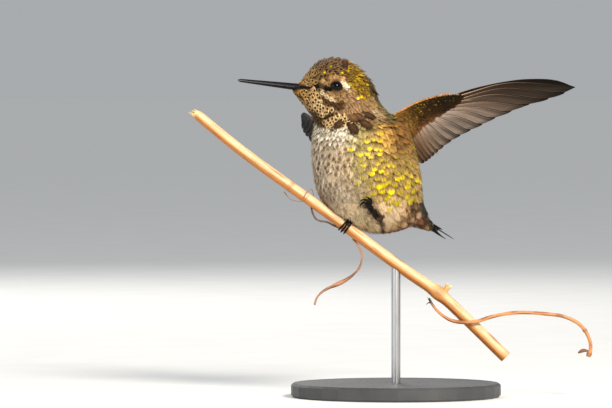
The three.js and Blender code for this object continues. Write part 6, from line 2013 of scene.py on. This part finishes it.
def groove(T, A):
    g = 0.0
    for k, ph, am in ((7, 0.3, 0.020), (13, 1.9, 0.016), (23, 4.1, 0.012), (31, 2.2, 0.009)):
        g = g + am * np.sin(A * k + ph + 1.6 * np.sin(T * 9 + k) + 3 * T)
    node_ring = 0.06 * bump(T, 0.306, 0.004) + 0.05 * bump(T, 0.60, 0.003)
    rag = -0.35 * np.clip(1 - T / 0.012, 0, 1) * (0.5 + 0.5 * np.sin(A * 3 + 1))
    return g + node_ring + rag + 0.10 * bump(T, KNOT, 0.012) * np.sin(A * 5 + 2)


perchj = Joined()
sv_, sf_, sta = tube(STEM, stem_radius, 260, 44, hint=(0, 1, 0), relief=groove)
stem_len = STEM.length
# paler on the side facing up toward the light and orange-brown below, painted light and shade; with darker bands, scars
# and a weathered end
centre = STEM(sta[:, 0])
outw = unit(sv_ - centre)
light_facing = outw @ unit(np.array([0.55, -0.25, 0.80]))
band = value_noise(np.stack([sta[:, 0] * stem_len / 9.0, 0 * sta[:, 0], 0 * sta[:, 0]], -1), 1.0, 11)
streak = value_noise(np.stack([sta[:, 0] * stem_len / 7.0, np.cos(sta[:, 1]) * 4.5, np.sin(sta[:, 1]) * 4.5], -1), 1.0, 12)
sc = mix(np.array([184.0, 116, 51]), np.array([226.0, 190, 147]), smooth(-0.25, 0.55, light_facing + 0.5 * (streak - 0.5))[:, None])
sc = lay(sc, smooth(0.55, 0.80, band) * 0.5, [184, 106, 42])
sc = lay(sc, smooth(0.66, 0.88, streak) * 0.55, [128, 76, 34])
sc = lay(sc, bump(sta[:, 0], KNOT, 0.016) * 0.6, [178, 122, 66])
sc = lay(sc, bump(sta[:, 0], 0.306, 0.006) * 0.5, [160, 106, 56])
sc = lay(sc, smooth(0.012, 0.0, sta[:, 0]) * 0.9, [232, 214, 150])
layv = dict(lx=sta[:, 0] * stem_len, ly=np.cos(sta[:, 1]) * 1.5, lz=np.sin(sta[:, 1]) * 1.5)
perchj.add(sv_, sf_, lin(sc), **layv)
# broken fibres at the upper end
end_p, end_d = STEM(0.0), -STEM.tangent(0.0)
eu = unit(np.cross(end_d, [0, 1, 0]))
ev = np.cross(end_d, eu)
for k in range(26):
    a, r = rng.random() * 6.283, math.sqrt(rng.random()) * 0.95
    p0 = end_p - end_d * 0.5 + (eu * math.cos(a) + ev * math.sin(a)) * r
    ln = 0.4 + 1.1 * rng.random() * (0.5 + 0.5 * math.cos(a - 1.0))
    d_ = unit(end_d + 0.22 * rng.normal(0, 1, 3))
    tv, tf, ta = tube(Curve([p0, p0 + d_ * ln * 0.5 + 0.03 * rng.normal(0, 1, 3), p0 + d_ * (ln + 0.5)]), lambda s: mix(0.16, 0.04, s), 5, 5)
    perchj.add(tv, tf, lin(np.array([232.0, 210, 150]) * (0.8 + 0.3 * rng.random())), lx=ta[:, 0] * 2, ly=np.cos(ta[:, 1]), lz=np.full(len(tv), float(k)))
# stub of a side shoot above the knot
t_s, foot_p, _, _ = stem_at(13.4)
for pts, r0, r1 in (([[0, 0, 0.2], [0.9, -0.5, 2.0], [2.4, -0.7, 3.2]], 1.0, 0.42), ([[0.9, -0.5, 1.9], [1.0, -0.7, 3.0], [1.3, -0.7, 3.9]], 0.6, 0.26)):
    c_ = Curve([foot_p + np.array(p) for p in pts])
    tv, tf, ta = tube(c_, lambda s: mix(r0, r1, s), 26, 18, relief=lambda T, A: 0.05 * np.sin(A * 5 + 7 * T) + 0.03 * np.sin(A * 11 + 3) - 0.16 * smooth(0.9, 1, T) * (0.5 + 0.5 * np.sin(A * 2)))
    tc = lay(np.tile([214.0, 164, 100], (len(tv), 1)), smooth(0.75, 1.0, ta[:, 0]), [240, 220, 170])
    tc = lay(tc, smooth(0.35, 0.0, ta[:, 0]) * 0.6, [158, 104, 56])
    perchj.add(tv, tf, lin(tc), lx=ta[:, 0] * 3, ly=np.cos(ta[:, 1]), lz=np.sin(ta[:, 1]))
perchj.uv = []
ob = make_lay(perchj, "perch_stem_fine", STEM_M, "dry_stem")
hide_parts("perch_stem")

TENDRILS = {
    "perch_curl": ([[-12.4, 0.2, 45.2], [-10.8, 0, 43.2], [-9.9, -0.1, 41.2], [-9.8, -0.2, 39.0], [-10.5, -0.3, 36.9], [-12.3, -0.3, 34.9], [-14.3, -0.2, 33.5], [-16.6, 0, 32.3], [-18.9, 0.2, 31.3], [-21.1, 0.4, 30.0], [-22.6, 0.5, 28.3], [-23.3, 0.6, 26.3]],
                   lambda t: 0.27 + 0.38 * bump(t, 0.62, 0.13), (178, 128, 96), (120, 84, 58)),
    "perch_loop": ([[-24.4, 0, 54.8], [-23.8, 0.1, 52.5], [-22.9, 0.2, 50.9], [-21.7, 0.2, 50.3], [-19.8, 0.2, 50.0], [-17.6, 0.2, 48.9], [-15.9, 0.3, 48.2]],
                   lambda t: 0.25, (104, 72, 52), (70, 50, 38)),
    "perch_twig": ([[9.4, -0.9, 28.2], [10.6, -1.2, 26.1], [12.6, -1.6, 23.9], [15.4, -2.1, 22.1], [18.9, -2.55, 21.4], [22.6, -2.6, 21.6], [26.9, -2.3, 22.9], [31.1, -2.0, 23.8], [35.4, -1.8, 24.2], [42.6, -1.5, 23.8], [48.3, -1.3, 22.9], [52.6, -1.2, 20.6], [55.1, -1.2, 16.9], [55.6, -1.2, 14.0], [54.9, -1.2, 11.5]],
                   lambda t: mix(0.30, 0.5, np.clip(t * 5, 0, 1)) + 0.30 * bump(t, 0.985, 0.012) + 0.16 * bump(t, 0.86, 0.006), (206, 140, 84), (150, 96, 56)),
}
for name, (pts, rad, c0, c1) in TENDRILS.items():
    j = Joined()
    c_ = Curve(pts)
    tv, tf, ta = tube(c_, rad, int(c_.length * 3), 14, relief=lambda T, A: 0.02 * np.sin(A * 4 + T * 40) + 0.03 * value_noise(np.stack([T.ravel() * 40, np.cos(A).ravel() * 2, np.sin(A).ravel() * 2], -1), 1.0, 4).reshape(T.shape))
    nz = value_noise(np.stack([ta[:, 0] * c_.length / 2.2, np.cos(ta[:, 1]), np.sin(ta[:, 1])], -1), 1.0, 8)
    col = mix(np.array(c0, float), np.array(c1, float), smooth(0.3, 0.75, nz)[:, None])
    if name == "perch_twig":
        col = lay(col, smooth(0.06, 0.0, ta[:, 0]) * 0.9, [44, 30, 24])
        col = lay(col, bump(ta[:, 0], 0.985, 0.012) * 0.6, [120, 76, 50])
        col = lay(col, bump(ta[:, 0], 0.86, 0.008) * 0.5, [110, 72, 46])
    j.add(tv, tf, lin(col), lx=ta[:, 0] * c_.length, ly=np.cos(ta[:, 1]) * 0.6, lz=np.sin(ta[:, 1]) * 0.6)
    if name == "perch_twig":          # forked dark tip, and a bud at the bend
        for p3 in ([[10.2, -1.15, 26.8], [9.6, -1.3, 27.6], [9.0, -1.5, 28.5]], [[10.0, -1.1, 27.0], [9.2, -1.0, 26.9], [8.6, -1.0, 26.4]]):
            v_, f_, a_ = tube(Curve(p3), lambda s: mix(0.24, 0.07, s), 10, 8)
            j.add(v_, f_, lin([48.0, 34, 28]), lx=a_[:, 0], ly=a_[:, 1], lz=a_[:, 1])
        v_, f_, a_ = tube(Curve([[52.0, -1.2, 12.6], [53.4, -1.2, 13.3], [54.9, -1.2, 13.2]]), lambda s: 0.20 + 0.35 * np.sin(np.pi * np.clip(s, 0, 1)) * (s > 0.02), 12, 10)
        j.add(v_, f_, lin([122.0, 80, 54]), lx=a_[:, 0], ly=a_[:, 1], lz=a_[:, 1])
    if name == "perch_loop":          # hair-fine loops round the stem
        for p3 in ([[-26.3, -1.75, 57.1], [-25.4, -2.0, 58.6], [-24.3, -1.0, 59.4], [-23.6, 0.5, 58.0], [-23.6, 1.2, 56.0]],
                   [[-32.0, 1.2, 58.6], [-30.3, 0.6, 56.6], [-28.3, -0.8, 56.0], [-26.3, -1.9, 56.1], [-25.0, -2.2, 57.6]]):
            v_, f_, a_ = tube(Curve(p3), lambda s: mix(0.14, 0.09, s), 30, 8)
            j.add(v_, f_, lin([150.0, 112, 84]), lx=a_[:, 0] * 8, ly=a_[:, 1], lz=a_[:, 1])
    j.uv = []
    ob = make_lay(j, name + "_fine", STEM_M, "dry_stem")
    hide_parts(name)

# ---------------------------------------------------------------------- feet
_, gp, gd, gr = stem_at(-14.1)
g_top = unit(np.cross([0, 1, 0], gd))
if g_top[2] < 0:
    g_top = -g_top
ORBIT = gr + 0.3 + 0.36


def on_stem(angle, x_along, radius):
    return gp + gd * x_along + g_top * math.cos(angle) * radius + np.array([0, -math.sin(angle) * radius, 0])


def arc(a0, a1, l0, l1, radius, n=7):
    return [on_stem(mix(a0, a1, i / (n - 1)) * DEG, mix(l0, l1, i / (n - 1)), radius) for i in range(n)]


def front_of(x, z, clear):
    y = np.arange(-32, 30, 0.05)
    d = body_field(np.stack([np.full_like(y, x), y, np.full_like(y, z)], -1))
    k = int(np.argmax(d <= clear))
    return np.array([x, y[k], z])


JOINT_R, ANKLE_R = on_stem(-42 * DEG, 0.1, ORBIT + 0.35), np.array([-12.6, 4.8, 54.6])
TOES_R = [
    ("inner", [JOINT_R] + arc(-8, 142, -0.75, -1.35, ORBIT), arc(150, 190, -1.35, -1.4, ORBIT)),
    ("middle", [JOINT_R] + arc(-12, 146, -0.25, -0.45, ORBIT), arc(154, 194, -0.45, -0.45, ORBIT)),
    ("outer", [JOINT_R] + arc(-8, 136, 0.3, 0.45, ORBIT), arc(144, 180, 0.45, 0.5, ORBIT)),
    ("rear", [JOINT_R] + arc(-62, -118, 0.2, 0.3, ORBIT), arc(-127, -158, 0.35, 0.4, ORBIT)),
]
JOINT_L = front_of(-7.7, 54.3, 1.05)
ANKLE_L = front_of(-4.6, 51.1, 0.2) + [0, 0.6, 0]


def curl(dx, dz, c):
    return front_of(-7.7 + 0.9 * dx, 54.3 + 0.85 * dz, c)


TOES_L = [
    ("inner", [JOINT_L, curl(-0.9, 1.0, 1.05), curl(-1.6, 1.75, 1.2), curl(-2.35, 1.5, 1.3)], [curl(-2.75, 1.1, 1.3), curl(-2.95, 0.5, 1.15), curl(-2.75, -0.1, 0.75)]),
    ("middle", [JOINT_L, curl(-0.3, 1.4, 1.1), curl(-0.8, 2.5, 1.2), curl(-1.75, 2.75, 1.3)], [curl(-2.3, 2.6, 1.3), curl(-2.8, 2.3, 1.2), curl(-3.1, 1.8, 0.85)]),
    ("outer", [JOINT_L, curl(0.4, 1.4, 1.1), curl(0.55, 2.5, 1.15), curl(-0.05, 3.1, 1.3)], [curl(-0.55, 3.45, 1.3), curl(-1.1, 3.6, 1.2), curl(-1.6, 3.55, 0.85)]),
    ("rear", [JOINT_L, curl(0.75, 0.2, 1.2), curl(1.0, -0.6, 1.2), curl(0.7, -1.4, 1.2)], [curl(0.35, -1.85, 1.2), curl(-0.1, -2.2, 1.1), curl(-0.55, -2.35, 0.8)]),
]


def scutes(count, amp):
    """overlapping scale rings along a toe or shank"""
    def relief(T, A):
        saw = (T * count) % 1.0
        return amp * (saw - 0.5) * (0.6 + 0.4 * np.cos(A)) - amp * 1.2 * bump(saw, 0.0, 0.08) + 0.012 * np.sin(A * 5)
    return relief


for side, ankle, joint, toes in (("right", ANKLE_R, JOINT_R, TOES_R), ("left", ANKLE_L, JOINT_L, TOES_L)):
    j = Joined()
    c_ = Curve([ankle, 0.5 * (ankle + joint), joint])
    tv, tf, ta = tube(c_, lambda t: mix(0.24, 0.50, smooth(0.0, 0.42, t)) + 0.06 * smooth(0.7, 1.0, t), 60, 16, relief=scutes(9, 0.05))
    tone = lambda a_, n_: np.array([18.0, 13, 10]) * (0.7 + 0.6 * value_noise(np.stack([a_[:, 0] * n_, np.cos(a_[:, 1]), np.sin(a_[:, 1])], -1), 0.8, 6))[:, None]
    j.add(tv, tf, lin(tone(ta, 9)))
    # knuckle
    kn, kf, ka = tube(Curve([joint - unit(joint - ankle) * 0.62, joint, joint + unit(joint - ankle) * 0.55]), lambda t: 0.62 * math.sqrt(max(0.02, 1 - (2 * t - 1) ** 2)), 14, 14)
    j.add(kn, kf, lin(tone(ka, 3)))
    for nm, path_, claw in toes:
        c_ = Curve(path_)
        pads = 5 if nm != "rear" else 3
        tv, tf, ta = tube(c_, lambda t: (mix(0.43, 0.35, t) if side == "left" else mix(0.36, 0.28, t)) * (1 + 0.10 * np.cos(2 * np.pi * t * pads)), 54, 14, relief=scutes(13, 0.045))
        j.add(tv, tf, lin(tone(ta, 8)))
    j.uv = []
    ob = j.make(f"foot_{side}_fine", LEG, "leg_skin")
    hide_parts(f"foot_{side}")
    for nm, path_, claw in toes:
        k = Joined()
        full = [0.35 * np.array(path_[-2]) + 0.65 * np.array(path_[-1])] + [np.array(p) for p in claw]
        tv, tf, ta = tube(Curve(full), lambda t: mix(0.27, 0.035, t ** 1.15), 30, 12)
        k.add(tv, tf, lin(mix(np.array([18.0, 14, 12]), np.array([8.0, 7, 7]), ta[:, :1])))
        ob = k.make(f"claw_{side}_{nm}_fine", CLAW, "claw_horn")
        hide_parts(f"claw_{side}_{nm}")

# -------------------------------------------------------------------- camera
AIM = np.array([-25.714, 0.0, 55.143])
DIST, ELEV = 1600.0, 1.2 * DEG
cam_d = bpy.data.cameras.new("camera")
cam = bpy.data.objects.new("camera", cam_d)
scene.collection.objects.link(cam)
cam.location = (AIM + DIST * np.array([0, -math.cos(ELEV), math.sin(ELEV)])) * MM
cam.rotation_euler = (math.pi / 2 - ELEV, 0, 0)
cam_d.sensor_width = 36.0
cam_d.lens = 36.0 * DIST * 3.5 / 612.0
cam_d.clip_start, cam_d.clip_end = 0.05, 80.0
scene.camera = cam

fl = make("floor", np.array([[-40000.0, -40000, 0], [40000, -40000, 0], [40000, 40000, 0], [-40000, 40000, 0]]), [np.array([[0, 1, 2, 3]])], floor_m, None, smooth_shade=False, ride=False)


def area(name, at, size, power, colour, aim=(-10, 0, 60)):
    d = bpy.data.lights.new(name, "AREA")
    d.shape, d.size, d.energy, d.color = "DISK", size, power, colour
    o = bpy.data.objects.new(name, d)
    scene.collection.objects.link(o)
    loc = np.array(at) * MM
    o.location = loc
    v = unit(np.array(aim) * MM - loc)
    z = -v
    x = unit(np.cross([0, 0, 1], z))
    y = np.cross(z, x)
    from mathutils import Matrix
    o.matrix_world = Matrix(((x[0], y[0], z[0], loc[0]), (x[1], y[1], z[1], loc[1]), (x[2], y[2], z[2], loc[2]), (0, 0, 0, 1)))
    return o


area("key", (390, -790, 580), 0.28, 15.5, (1.0, 0.93, 0.83))
area("fill", (-800, -500, 300), 0.7, 2.5, (0.90, 0.95, 1.0))
area("back", (-250, 800, 600), 0.5, 4.0, (1.0, 0.97, 0.92))
scene.view_settings.view_transform = "Standard"
world = bpy.data.worlds.new("world")
world.use_nodes = True
bg = world.node_tree.nodes["Background"]
bg.inputs[0].default_value = (0.90, 0.93, 0.96, 1)
bg.inputs[1].default_value = 0.44
scene.world = world

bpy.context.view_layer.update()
